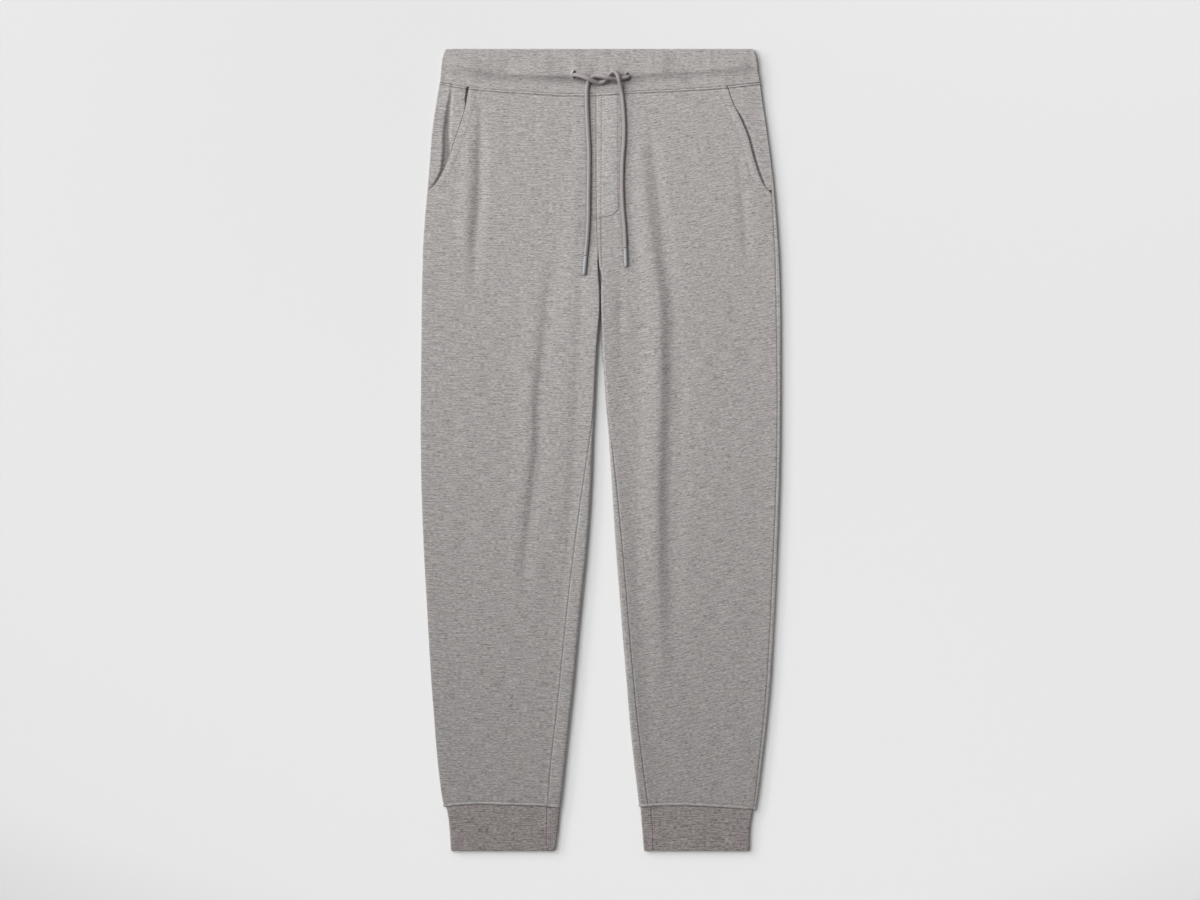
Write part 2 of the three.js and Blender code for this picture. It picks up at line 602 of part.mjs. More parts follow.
function cuffGeometry(side) {
  return ringGeometry({
    shares: CUFF_EDGES[side].map((edge) => edge.share),
    edges: CUFF_EDGES[side],
    rims: [1],
    dip: 0,
    wall: CUFF_WALL,
    radius: CUFF_RADIUS,
    frontParts: 8,
    endParts: 5,
    backParts: 4,
    far: BOTTOM_LEVEL,
    seam: (x) => follow(CUFF_SEAM, 'x', x, 'y') - HALF_GAP,
    backSeam: (x) => underSeam(x) - HALF_GAP,
  });
}

// Route of each cord: x, y and how high its centre is above the cloth.
// The knot comes first and the free end last.
const CORD_ROUTES = {
  right_exit: [
    { x: -32.6, y: 485.1, lift: -1.2 }, { x: -32.0, y: 485.0, lift: 1.3 },
    { x: -27.6, y: 483.9, lift: 4.6 }, { x: -20.5, y: 481.4, lift: 7.9 },
    { x: -14.4, y: 478.9, lift: HIGH_LIFT }, { x: -8.6, y: 476.3, lift: 6.6 },
    { x: -1.5, y: 474.2, lift: LOW_LIFT }, { x: 5.2, y: 475.8, lift: LOW_LIFT },
    { x: 9.8, y: 480.4, lift: LOW_LIFT }, { x: 13.2, y: 486.0, lift: 4.2 },
    { x: 18.4, y: 488.4, lift: 7.4 }, { x: 22.4, y: 484.4, lift: HIGH_LIFT },
    { x: 24.4, y: 478.6, lift: HIGH_LIFT }, { x: 26.4, y: 471.6, lift: 5.4 },
    { x: 28.2, y: 462.5, lift: LOW_LIFT }, { x: 29.5, y: 452.7, lift: LOW_LIFT },
    { x: 31.4, y: 426.9, lift: LOW_LIFT }, { x: 31.4, y: 401.0, lift: LOW_LIFT },
    { x: 29.5, y: 375.1, lift: LOW_LIFT }, { x: 28.8, y: 342.8, lift: LOW_LIFT },
    { x: 29.8, y: 314.3, lift: LOW_LIFT }, { x: 31.9, y: 289.7, lift: LOW_LIFT },
    { x: 33.1, y: 265.2, lift: LOW_LIFT }, { x: 34.0, y: 236.7, lift: LOW_LIFT },
  ],
  left_exit: [
    { x: 37.2, y: 482.6, lift: -1.2 }, { x: 36.6, y: 482.4, lift: 1.3 },
    { x: 32.6, y: 481.2, lift: LOW_LIFT }, { x: 26.0, y: 479.4, lift: LOW_LIFT },
    { x: 20.6, y: 479.0, lift: 3.6 }, { x: 14.6, y: 479.4, lift: 6.8 },
    { x: 8.6, y: 480.6, lift: HIGH_LIFT }, { x: 2.2, y: 482.4, lift: 6.9 },
    { x: -5.0, y: 483.2, lift: 3.6 }, { x: -11.2, y: 480.8, lift: LOW_LIFT },
    { x: -14.6, y: 476.6, lift: LOW_LIFT }, { x: -16.2, y: 468.5, lift: LOW_LIFT },
    { x: -16.7, y: 452.7, lift: LOW_LIFT }, { x: -15.1, y: 413.9, lift: LOW_LIFT },
    { x: -13.8, y: 388.1, lift: LOW_LIFT }, { x: -13.8, y: 362.2, lift: LOW_LIFT },
    { x: -14.4, y: 323.4, lift: LOW_LIFT }, { x: -14.5, y: 301.4, lift: LOW_LIFT },
    { x: -15.8, y: 276.8, lift: LOW_LIFT }, { x: -18.0, y: 252.2, lift: LOW_LIFT },
    { x: -20.3, y: 226.4, lift: LOW_LIFT },
  ],
};

// Top of the garment under a cord: the waistband, then the front panels below its seam.
function clothTop(x, y) {
  const seam = follow(WAIST_SEAM, 'x', x, 'y');
  const side = x < -3 ? 'right' : 'left';
  const section = outlineAt(side, Math.min(y, WAIST_LEVEL - 1));
  const panel = heightAt(section, Math.abs(x - section.outer));
  return THREE.MathUtils.lerp(panel, 2 * BAND_RADIUS, smooth(seam - 12, seam - 3, y));
}

function cordCurve(route) {
  return new THREE.CatmullRomCurve3(
    route.map((row) => (
      new THREE.Vector3(row.x + SIDE_SHIFT, row.y, clothTop(row.x, row.y) + row.lift)
    )),
    false,
    'centripetal',
  );
}

function stretchOf(curve, from, to) {
  const total = curve.getLength();
  const points = [];
  const count = Math.max(12, Math.round((to - from) / 3));
  for (let k = 0; k <= count; k += 1) {
    points.push(curve.getPointAt(THREE.MathUtils.lerp(from, to, k / count) / total));
  }
  return new THREE.CatmullRomCurve3(points);
}

function tube(curve, radius, steps) {
  const disc = new THREE.Shape();
  for (let k = 0; k < CORD_SIDES; k += 1) {
    const a = (2 * Math.PI * k) / CORD_SIDES;
    if (k === 0) disc.moveTo(radius, 0);
    else disc.lineTo(radius * Math.cos(a), radius * Math.sin(a));
  }
  disc.closePath();
  return new THREE.ExtrudeGeometry(disc, { steps, extrudePath: curve, bevelEnabled: false });
}

const wasm = await Module();
wasm.setup();

function solidOf(geometry) {
  const bare = geometry.clone();
  bare.deleteAttribute('normal');
  bare.deleteAttribute('uv');
  const merged = mergeVertices(bare, 1e-4);
  return new wasm.Manifold(new wasm.Mesh({
    numProp: 3,
    vertProperties: new Float32Array(merged.getAttribute('position').array),
    triVerts: new Uint32Array(merged.getIndex().array),
  }));
}

function geometryOf(solid) {
  const mesh = solid.getMesh();
  const geometry = new THREE.BufferGeometry();
  geometry.setAttribute('position', new THREE.Float32BufferAttribute(mesh.vertProperties, 3));
  geometry.setIndex(Array.from(mesh.triVerts));
  geometry.computeVertexNormals();
  return geometry;
}

// Buttonhole through the outer ply of the band, spread open by the cord that leaves it sideways.
function buttonholeCut(exit, next) {
  const slit = new THREE.BoxGeometry(SLIT_WIDTH, SLIT_LENGTH, BAND_WALL + 1);
  const lean = 0.5 * Math.sign(next.x - exit.x);
  slit.translate(exit.x + lean + SIDE_SHIFT, exit.y, 2 * BAND_RADIUS - BAND_WALL / 2);
  return solidOf(slit);
}

const group = new THREE.Group();

function addPiece(name, geometry, colour, roughness) {
  const material = new THREE.MeshStandardMaterial({ color: colour, roughness, metalness: 0 });
  const mesh = new THREE.Mesh(geometry, material);
  mesh.name = name;
  group.add(mesh);
}

let band = solidOf(bandGeometry());
const cords = {};
for (const [name, route] of Object.entries(CORD_ROUTES)) {
  cords[name] = cordCurve(route);
  band = band.subtract(buttonholeCut(route[0], route[1]));
}
addPiece('waistband', geometryOf(band), BAND_COLOUR, 0.92);

for (const side of ['right', 'left']) {
  addPiece(`front_${side}`, frontGeometry(side), CLOTH_COLOUR, 0.95);
  addPiece(`back_${side}`, backGeometry(side), CLOTH_COLOUR, 0.95);
  addPiece(`pocket_facing_${side}`, facingGeometry(side), CLOTH_COLOUR, 0.95);
  addPiece(`cuff_${side}`, cuffGeometry(side), CUFF_COLOUR, 0.95);
}

for (const [name, curve] of Object.entries(cords)) {
  const length = curve.getLength();
  const cordEnd = length - TIP_LENGTH - SEAM_GAP;
  addPiece(`drawcord_${name}`, tube(stretchOf(curve, 0, cordEnd), CORD_RADIUS, CORD_STEPS), CORD_COLOUR, 0.85);
  const tip = tube(stretchOf(curve, length - TIP_LENGTH, length), TIP_RADIUS, TIP_STEPS);
  addPiece(`cord_tip_${name}`, tip, TIP_COLOUR, 0.45);
}

export default group;
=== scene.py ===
import math
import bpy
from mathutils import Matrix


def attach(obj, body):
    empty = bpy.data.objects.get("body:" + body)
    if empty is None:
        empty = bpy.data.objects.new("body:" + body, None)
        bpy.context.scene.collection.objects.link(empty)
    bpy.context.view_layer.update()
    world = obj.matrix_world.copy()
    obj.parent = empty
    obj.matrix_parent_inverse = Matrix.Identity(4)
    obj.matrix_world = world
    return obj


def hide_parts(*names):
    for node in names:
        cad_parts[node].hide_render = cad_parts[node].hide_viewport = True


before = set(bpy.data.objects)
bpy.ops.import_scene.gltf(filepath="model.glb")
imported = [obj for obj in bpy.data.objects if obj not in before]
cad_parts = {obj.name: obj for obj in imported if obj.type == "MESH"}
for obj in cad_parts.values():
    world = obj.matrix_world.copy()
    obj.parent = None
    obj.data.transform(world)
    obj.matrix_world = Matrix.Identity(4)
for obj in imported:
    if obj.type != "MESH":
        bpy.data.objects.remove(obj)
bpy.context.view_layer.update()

from types import SimpleNamespace

import bpy
import numpy as np
from bpy.props import FloatProperty, FloatVectorProperty, PointerProperty
from mathutils import Vector

bl_info = {
    "name": "Jogger sweatpants laid flat",
    "version": (1, 0, 0),
    "blender": (4, 5, 0),
    "location": "View3D > Sidebar > Joggers",
    "description": "Builds grey melange joggers, their sewing and a tied drawcord on the packed frame",
    "category": "Add Mesh",
}

# All sizes below are millimetres in the frame of the part; a mesh gets metres when it is made.
MM = 0.001
CLOTH = 2.0
FACING_CLOTH = 1.1
HALF_GAP = 0.06
# The drawing is this far to the side of the frame's middle.
SIDE_SHIFT = -1.3
# Radius of the rolled inner edges, of the outer ones, and of those that meet in the slit below
# the crotch; how much lower the left inner edge lies; how far into the cloth an edge is felt;
# and how steep the outer edge is drawn, over which reach.
EDGE_RADIUS = 3.9
OUTER_RADIUS = 3.0
SLIT_RADIUS = 2.0
LOW_CREST = 1.1
EDGE_SPREAD = 28.0
EDGE_STEEP = 0.28
EDGE_STEEP_REACH = 9.0
QUARTER = OUTER_RADIUS * math.pi / 2
# The cloth of the legs lies nowhere lower.
LEAST_HEIGHT = 4.2
# Levels from the top of the waistband to the bottom of the cuffs.
TOP_LEVEL = 519.0
WAIST_LEVEL = 476.0
POCKET_LAST_ROW = 336.0
POCKET_END = 331.0
FRONT_TURN_LEVEL = 257.0
BACK_TURN_LEVEL = 248.0
CROTCH_LEVEL = 237.0
HEM_LEVEL = -461.0
BOTTOM_LEVEL = -519.0
# The flattened rings: half their height, how far their round ends reach out, and the wall that
# stands for two plies.
BAND_RADIUS = 3.75
BAND_TURN = 1.3
BAND_WALL = 3.5
CUFF_RADIUS = 3.1
CUFF_TURN = 2.3
CUFF_WALL = 2.7
# The cord: its radius, the sides of its tube and the step along it; its dipped ends and the gap
# between them and the cord.
CORD_RADIUS = 2.6
CORD_SIDES = 20
CORD_STEP = 1.0
TIP_LENGTH = 24.0
TIP_GAP = 0.3
# Rows of stitches: their distance from the waist seam, the cuff seam and the pocket edge, the
# length from stitch to stitch, and the step at which a row is measured.
WAIST_STITCH = 3.5
CUFF_STITCH = 4.9
POCKET_STITCH = 10.8
STITCH_PITCH = 3.3
STITCH_STEP = 3.0
# Rows of a panel from which it bends towards the waist seam and the cuff seam, and the lowest
# ones that the cord and the fly reach.
BEND_TO_WAIST = 395
BEND_TO_CUFF = -400
CORD_LOWEST = 215
FLY_LOWEST = 225
# Share of a full round at the rim of the waistband and the cuffs.
RIM_ROUND = 0.88
# Half the distance between two points that give the slope of a surface between them.
SLOPE_STEP = 0.05
# Direction of the courses of the knit on each leg, in radians.
COURSE_TURN = {"right": 0.03, "left": -0.2}


def table(names, *rows):
    """A table with named columns, a row for each section or point."""
    columns = names.split()
    return {name: np.array([row[i] for row in rows], float) for i, name in enumerate(columns)}


# Outer and inner edges of the legs, and how far the back comes over each edge along the cloth.
OUTLINE = table(
    "y out_right in_right wrap_right out_left in_left wrap_left over_left",
    (476, -207.2, -4.4, 0.9, 207.8, -4.4, 0.9, 0),
    (452, -211.2, -4.4, 0.9, 210.8, -4.4, 0.9, 0),
    (414, -216.9, -4.3, 0.9, 216.4, -4.3, 0.9, 0),
    (375, -220.0, -4.2, 0.9, 221.6, -4.2, 0.9, 2.5),
    (336, -223.2, -4.0, 0.9, 226.1, -4.0, 0.9, 6.5),
    (298, -226.6, -3.6, 0.9, 229.3, -3.6, 0.9, 7.5),
    (262, -228.9, -2.2, 0.9, 231.8, -2.2, 0.9, 7.8),
    (237, -229.6, -1.7, 0.9, 232.9, -1.1, 0.9, 8.0),
    (226, -229.9, -1.3, 0.9, 233.3, 2.6, 0.9, 8.2),
    (207, -230.3, 0.1, 1.0, 233.8, 1.4, 1.0, 8.2),
    (181, -230.7, 0.2, 1.0, 234.3, 1.8, 1.0, 8.2),
    (155, -230.9, -1.8, 1.2, 234.5, 3.1, 1.2, 8.0),
    (129, -231.2, -3.8, 1.5, 234.5, 3.7, 1.5, 7.8),
    (90, -231.5, -5.3, 2.2, 234.5, 6.0, 2.4, 7.5),
    (58, -231.8, -6.4, 2.8, 234.4, 8.1, 3.4, 7.4),
    (22, -231.9, -8.3, 5.6, 234.2, 11.2, 5.2, 7.4),
    (-39, -231.2, -10.4, 12.6, 233.2, 15.2, 8.3, 7.5),
    (-91, -229.5, -13.4, 17.0, 231.6, 18.5, 10.1, 7.6),
    (-140, -227.3, -17.5, 19.4, 229.7, 21.8, 11.3, 7.8),
    (-194, -224.3, -23.0, 20.2, 227.3, 26.1, 11.6, 7.8),
    (-246, -221.3, -28.0, 20.6, 224.6, 30.2, 11.8, 7.8),
    (-298, -218.2, -32.8, 21.0, 221.6, 34.5, 11.9, 7.7),
    (-349, -214.3, -38.3, 20.8, 216.9, 38.7, 12.7, 7.5),
    (-401, -210.1, -43.8, 21.4, 210.9, 43.9, 13.7, 7.2),
    (-440, -205.4, -48.0, 20.4, 205.6, 48.8, 13.9, 6.8),
    (-461, -201.6, -50.8, 19.2, 201.8, 51.4, 13.9, 6.4),
)
# The slanted edge of each front pocket.
POCKET = table(
    "y right left",
    (476, -168.9, 164.6), (452, -173.0, 172.4), (428, -178.6, 183.0), (404, -186.4, 192.2),
    (380, -194.7, 198.6), (362, -201.5, 204.2), (350, -208.3, 208.6), (342, -214.2, 213.2),
    (336, -219.2, 218.2),
)
# The hollow that runs down the facing of the right pocket: where its lowest line lies from the
# outer edge, its depth, and how widely it falls on the outer side and climbs on the inner one.
POCKET_HOLLOW = table(
    "y inset depth fall climb",
    (470, 16.5, 0.6, 3.0, 4.0), (459, 17.2, 1.9, 3.4, 4.0), (446, 17.4, 2.4, 4.4, 5.0),
    (427, 18.6, 3.4, 6.2, 6.0), (407, 19.6, 4.2, 7.0, 6.5), (388, 21.6, 5.0, 7.8, 7.0),
    (375, 21.4, 5.4, 7.6, 7.5), (362, 20.6, 5.6, 7.8, 8.5), (352, 17.4, 5.2, 8.3, 8.0),
    (343, 11.4, 3.8, 6.4, 6.0), (336, 6.5, 1.6, 4.0, 4.0),
)
# The waist seam and the cuff seams, as they are seen from above.
WAIST_SEAM = table(
    "x y",
    (-215, 476), (-205, 475.6), (-174, 470.2), (-129, 465.9), (-77, 462.6), (-38, 460.8),
    (0, 461.6), (37, 464), (104, 467), (165, 471), (205, 475.6), (215, 476),
)
CUFF_SEAM = table(
    "x y",
    (-205, -462.6), (-170, -459.4), (-120, -460), (-80, -461), (-50, -463),
    (50, -462.2), (100, -460.6), (150, -462.4), (205, -466.4),
)
# Height of the lying garment away from its edges.
PILE_HEIGHT = table(
    "y height",
    (476, 6.9), (400, 6.8), (325, 6.7), (250, 5.9), (150, 5.7), (-150, 5.5), (-380, 5.7), (-461, 6.1),
)

# Folds: a row for each point of a crease, with its rise and its reach towards and away from
# the middle of the garment. The first eight are the large ones, the last four are faint.
FOLDS = [table("y x rise near far", *rows) for rows in (
    (
        (462, -156, 0, 10, 5), (425, -155, -1.5, 13, 6), (370, -156, -2.4, 15, 6), (325, -157, -2.5, 15, 6),
        (280, -160, -2.3, 15, 7), (240, -162, -1.3, 15, 8), (190, -164, 0, 14, 9),
    ),
    (
        (440, -168, 0, 8, 8), (400, -169, 1.0, 9, 14), (330, -170, 2.0, 9, 18), (270, -173, 1.6, 9, 18),
        (215, -174, 0, 9, 14),
    ),
    (
        (425, -24, 0, 12, 12), (330, -32, 0.8, 14, 15), (210, -36, 1.0, 16, 24), (90, -40, 1.0, 16, 26),
        (-20, -46, 0.9, 16, 26), (-120, -56, 0.5, 18, 24), (-210, -70, 0, 18, 20),
    ),
    (
        (262, -59, 0, 16, 6), (194, -68, -1.1, 16, 6), (129, -72, -1.2, 16, 9), (65, -80, -1.7, 16, 6),
        (0, -80, -1.7, 17, 6), (-65, -87, -1.5, 17, 9), (-129, -95, -1.0, 16, 8), (-210, -99, 0, 16, 10),
    ),
    (
        (262, -72, 0, 12, 20), (194, -81, 0.9, 12, 22), (129, -87, 1.2, 13, 24), (65, -92, 1.9, 12, 24),
        (0, -92, 1.9, 12, 24), (-65, -100, 1.3, 13, 24), (-129, -108, 0.8, 12, 22), (-210, -111, 0, 12, 20),
    ),
    (
        (425, 50, 0, 14, 10), (380, 55, 1.0, 16, 10), (330, 59, 2.0, 18, 11), (262, 66, 2.6, 22, 12),
        (194, 77, 3.2, 28, 12), (90, 78, 4.2, 30, 12), (-40, 75, 4.2, 30, 12), (-140, 74, 3.2, 28, 13),
        (-240, 77, 1.4, 22, 13), (-320, 80, 0, 20, 13),
    ),
    (
        (440, 64, 0, 8, 10), (390, 68, -1.1, 9, 12), (330, 77, -1.9, 10, 14), (262, 83, -1.7, 10, 18),
        (194, 95, -1.6, 10, 24), (90, 97, -1.8, 11, 26), (-40, 94, -1.8, 11, 26), (-140, 93, -1.6, 10, 24),
        (-240, 95, -0.7, 10, 20), (-320, 97, 0, 10, 18),
    ),
    (
        (405, 178, 0, 9, 9), (330, 185, -1.3, 9, 9), (280, 189, -1.3, 9, 9), (225, 192, 0, 9, 9),
    ),
    ((458, -120, 0, 6, 6), (425, -119, -0.63, 7, 7), (372, -117, 0, 7, 7)),
    ((458, -86, 0, 6, 6), (420, -84, -0.54, 7, 7), (375, -83, 0, 7, 7)),
    ((452, -38, 0, 6, 6), (415, -37, -0.72, 7, 7), (360, -35, 0, 7, 7)),
    ((230, 26, 0, 7, 8), (170, 26, -0.9, 8, 9), (100, 28, 0, 8, 9)),
)]

# The trough that runs along the waistband, above the seam.
BAND_TROUGH = table(
    "x y depth fall",
    (-206, 493, 0.5, 4.0), (-180, 491, 0.7, 3.6), (-155, 487, 1.0, 3.4), (-129, 483.4, 1.15, 3.2),
    (-90, 481.2, 1.4, 3.0), (-51, 480.6, 1.9, 3.0), (-36, 480.2, 2.3, 3.0), (0, 480.4, 2.2, 3.0),
    (40, 481.5, 1.8, 3.0), (65, 482.3, 1.25, 3.2), (104, 484.6, 1.15, 3.4), (142, 486.6, 1.2, 3.6),
    (181, 490, 0.9, 3.8), (206, 492.5, 0.7, 4.0),
)
# Both ends of the waistband and of the cuffs, by the share of the way from seam to rim.
BAND_EDGES = table(
    "share low high",
    (0, -207.0, 207.6), (0.1, -206.6, 207.2), (0.3, -205.6, 205.4), (0.5, -204.9, 204.6),
    (0.75, -203.4, 203.0), (0.95, -200.6, 200.2), (1, -199.0, 198.5),
)
CUFF_EDGES = {
    "right": table(
        "share low high",
        (0, -198.4, -51.2), (0.35, -195.2, -52.9), (0.7, -193.6, -55.2), (0.97, -192.7, -57.6),
        (1, -192.6, -57.9),
    ),
    "left": table(
        "share low high",
        (0, 52.6, 198.6), (0.35, 54.3, 195.4), (0.7, 55.9, 194.2), (0.97, 57.1, 193.9), (1, 57.2, 193.8),
    ),
}
CUFF_OWN_SEAM = {
    "right": table("y x", (-462, -67.6), (-490, -68.2), (-508, -68.6), (-519, -66.4)),
    "left": table("y x", (-462, 66.6), (-490, 68.6), (-519, 69.6)),
}
# Middle of each buttonhole, and how far to the side the knot draws it.
BUTTONHOLES = table("x y lean", (-32.6, 485.1, 0.5), (37.2, 482.6, -0.5))
# Small dents of the waistband above the knot and beside it.
PUCKERS = table(
    "x y width height depth",
    (-25.5, 493, 1.3, 5, 0.7), (-10, 492, 1.3, 5.5, 0.7), (12, 494, 1.4, 5, 0.6), (13.5, 512, 1.6, 2.5, 0.6),
    (-60, 499, 3.0, 8, 0.35), (48, 497, 3.0, 8, 0.4), (96, 501, 4.0, 9, 0.3), (-118, 503, 4.0, 9, 0.35),
)
HOLE_HALF_LENGTH = 5.3
HOLE_HALF_WIDTH = 2.3
HOLE_DEPTH = 3.25

# Rows of sewing on the left front: the curved stitch of the mock fly, and the lines beside the
# centre seam above and below its end.
FLY_CURVE = table(
    "x y",
    (24.6, 461), (24.4, 420), (24.2, 370), (24.4, 330), (25.0, 322), (25.6, 316), (24.4, 311),
    (21.2, 306), (16.2, 303), (9.0, 301.6), (0.4, 301.2),
)
FLY_LINE = table("x y", (2.6, 459), (2.5, 400), (2.4, 350), (2.3, 304))
CROTCH_LINE = table("x y", (2.1, 299), (2.2, 280), (2.5, 262), (3.0, 250), (3.6, 240))

# Middle lines of the cord's free ends; lift is their height over the cloth below them.
CORD_ROUTES = {
    "right_exit": table(
        "x y lift",
        (-32.6, 485.1, -1.2), (-32.0, 485.0, 1.3), (-27.6, 483.9, 4.6), (-20.5, 481.4, 7.9),
        (-14.4, 478.9, 8.75), (-8.6, 476.3, 6.6), (-1.5, 474.2, 2.95), (5.2, 475.8, 2.95),
        (9.8, 480.4, 2.95), (13.2, 486.0, 4.2), (18.4, 488.4, 7.4), (22.4, 484.4, 8.75),
        (24.4, 478.6, 8.75), (26.4, 471.6, 5.4), (28.2, 462.5, 2.0), (29.5, 452.7, 2.0),
        (31.4, 426.9, 2.0), (31.4, 401.0, 2.0), (29.5, 375.1, 2.0), (28.8, 342.8, 2.0),
        (29.8, 314.3, 2.0), (31.9, 289.7, 2.0), (33.1, 265.2, 2.0), (34.0, 236.7, 2.0),
    ),
    "left_exit": table(
        "x y lift",
        (37.2, 482.6, -1.2), (36.6, 482.4, 1.3), (32.6, 481.2, 2.95), (26.0, 479.4, 2.95),
        (20.6, 479.0, 3.6), (14.6, 479.4, 6.8), (8.6, 480.6, 8.75), (2.2, 482.4, 6.9),
        (-5.0, 483.2, 3.6), (-11.2, 480.8, 2.95), (-14.6, 476.6, 2.95), (-16.2, 468.5, 2.3),
        (-16.7, 452.7, 2.0), (-15.1, 413.9, 2.0), (-13.8, 388.1, 2.0), (-13.8, 362.2, 2.0),
        (-14.4, 323.4, 2.0), (-14.5, 301.4, 2.0), (-15.8, 276.8, 2.0), (-18.0, 252.2, 2.0),
        (-20.3, 226.4, 2.0),
    ),
}
# Radius of a dipped end along its length.
TIP = table(
    "reach radius",
    (0, 2.2), (0.25, 2.42), (0.8, 2.5), (2, 2.52), (5, 2.5), (9, 2.48), (13, 2.5), (17, 2.5),
    (20, 2.46), (22, 2.4), (23.1, 2.2), (23.7, 1.85), (24, 1.3),
)

# How far the hanging cord ends press into the fronts, and how widely.
CORD_DENT = 1.0
CORD_DENT_REACH = 3.0
# The cloth lies a little higher round the crotch: height, its reach across and along, its level.
CROTCH_HILL = {"rise": 3.2, "across_right": 60, "across_left": 110.0, "along": 75.0, "level": 190.0}

# How much paler the colour is painted on a ridge, and darker in a groove, for each mm of relief: painted
# highlight and painted shade.
PAINTED_SHADE_ON_RELIEF = 0.2
# How many mm of relief a mm of depth counts for inside a pocket, where the hollow is painted darker as
# painted shade, from which depth on, and the limits of the relief that the painted highlight and shade take.
PAINTED_HOLLOW_SHADE = 0.7
HOLLOW_FROM = 0.6
RELIEF_LIMITS = (-2.2, 1.2)

# Widths in metres of a wale, a course and a rib of the knit, and of a rib and a loop of the cord;
# how far the melange's tones spread, and how much of it the waistband and the cuffs show.
WALE = 0.0011
COURSE = 0.0009
RIB = 0.0024
CORD_RIB = 0.01634 / 5
CORD_LOOP = 0.0021
MELANGE_SPREAD = 0.445
BAND_CONTRAST = 0.9
CUFF_CONTRAST = 1.35

# The camera's place to the side, its film in millimetres, and the width that it sees at which
# level; then the size and the level of the surface. All but the film are in metres.
CAMERA_SIDE = -0.0009
CAMERA_FILM = 36
VIEW_WIDTH = 1.5522
VIEW_LEVEL = 0.0065
FLOOR_SIZE = 14
FLOOR_LEVEL = -0.0004

# The main light is a square bank of soft lamps. In metres: where it aims, the way it comes
# from, its distance, the size and spacing of its lamps, and the reach of their beams.
# FLOOR_EVEN is the floor's tone, lighter where less of that light falls, by place in metres.
KEY_AIM = (-0.2, 0.7, 0.0)
KEY_FROM = (-0.74, 0.35, 0.74)
KEY_DISTANCE = 9.0
KEY_SIZE = 1.3
KEY_SPACING = 3.3
KEY_LAMPS_A_SIDE = 3
KEY_REACH = 1.19
FLOOR_EVEN = {"even": 0.670, "x": 0.034, "y": -0.343, "xx": 0.180, "xy": 0.077, "yy": 0.312}


# Curves and sections

def smooth(low, high, value):
    """Climbs softly from 0 at low to 1 at high."""
    t = np.clip((value - low) / (high - low), 0.0, 1.0)
    return t * t * (3 - 2 * t)


def hermite(t, low, low_slope, high, high_slope):
    """Place at t, from 0 to 1, on the curve between two ends with these slopes."""
    t2, t3 = t * t, t * t * t
    return (
        (2 * t3 - 3 * t2 + 1) * low + (t3 - 2 * t2 + t) * low_slope
        + (3 * t2 - 2 * t3) * high + (t3 - t2) * high_slope
    )


def rising(tab, key, column):
    """Two columns of a table in the order in which the first one rises."""
    order = -1 if tab[key][0] > tab[key][-1] else 1
    return tab[key][::order], tab[column][::order]


def follow(tab, key, at, column):
    """Smooth value of a column between the rows of a table."""
    keys, values = rising(tab, key, column)
    slopes = np.empty_like(values)
    slopes[1:-1] = (values[2:] - values[:-2]) / (keys[2:] - keys[:-2])
    slopes[0] = (values[1] - values[0]) / (keys[1] - keys[0])
    slopes[-1] = (values[-1] - values[-2]) / (keys[-1] - keys[-2])
    at = np.clip(np.asarray(at, float), keys[0], keys[-1])
    i = np.clip(np.searchsorted(keys, at, side="right") - 1, 0, len(keys) - 2)
    step = keys[i + 1] - keys[i]
    return hermite((at - keys[i]) / step, values[i], slopes[i] * step, values[i + 1], slopes[i + 1] * step)


def straight(tab, key, at, column):
    """Value of a column on the straight lines between the rows of a table."""
    return np.interp(at, *rising(tab, key, column))


def reaches(points):
    """How far along a path each of its points lies."""
    return np.concatenate([[0], np.cumsum(np.linalg.norm(np.diff(points, axis=0), axis=1))])


def at_reach(at, reach, points):
    """Points of a path at these distances along it."""
    return np.stack([np.interp(at, reach, column) for column in points.T], axis=1)


def outline(row, column):
    return float(follow(OUTLINE, "y", row, column))


def waist_seam(x):
    return follow(WAIST_SEAM, "x", x, "y")


def cuff_seam(x):
    return follow(CUFF_SEAM, "x", x, "y")


def under_seam(x):
    """Cuff seam on the underside, straight from the outer to the inner edge of the leg."""
    x = np.asarray(x, float)
    low = np.where(x < 0, OUTLINE["out_right"][-1], OUTLINE["in_left"][-1])
    high = np.where(x < 0, OUTLINE["in_right"][-1], OUTLINE["out_left"][-1])
    t = np.clip((x - low) / (high - low), 0, 1)
    return cuff_seam(low) * (1 - t) + cuff_seam(high) * t


def level_at(row, x, under=False):
    """Level on the cloth of a panel row, bent at its ends to meet the waist and cuff seams."""
    seam = under_seam(x) if under else cuff_seam(x)
    level = row + smooth(BEND_TO_CUFF, HEM_LEVEL, row) * (seam - HEM_LEVEL)
    if not under:
        level = level + smooth(BEND_TO_WAIST, WAIST_LEVEL, row) * (waist_seam(x) - WAIST_LEVEL)
    return level


def fold_rise(x, row):
    """How far the folds lift the cloth at points of one row."""
    total = np.zeros_like(x)
    for fold in FOLDS:
        if row > fold["y"][0] or row < fold["y"][-1]:
            continue
        offset = (x - straight(fold, "y", row, "x")) * math.copysign(1, fold["x"][0])
        reach = np.where(offset < 0, straight(fold, "y", row, "near"), straight(fold, "y", row, "far"))
        share = np.minimum(np.abs(offset) / reach, 1.0)
        total += straight(fold, "y", row, "rise") * (0.5 + 0.5 * np.cos(math.pi * share))
    return total


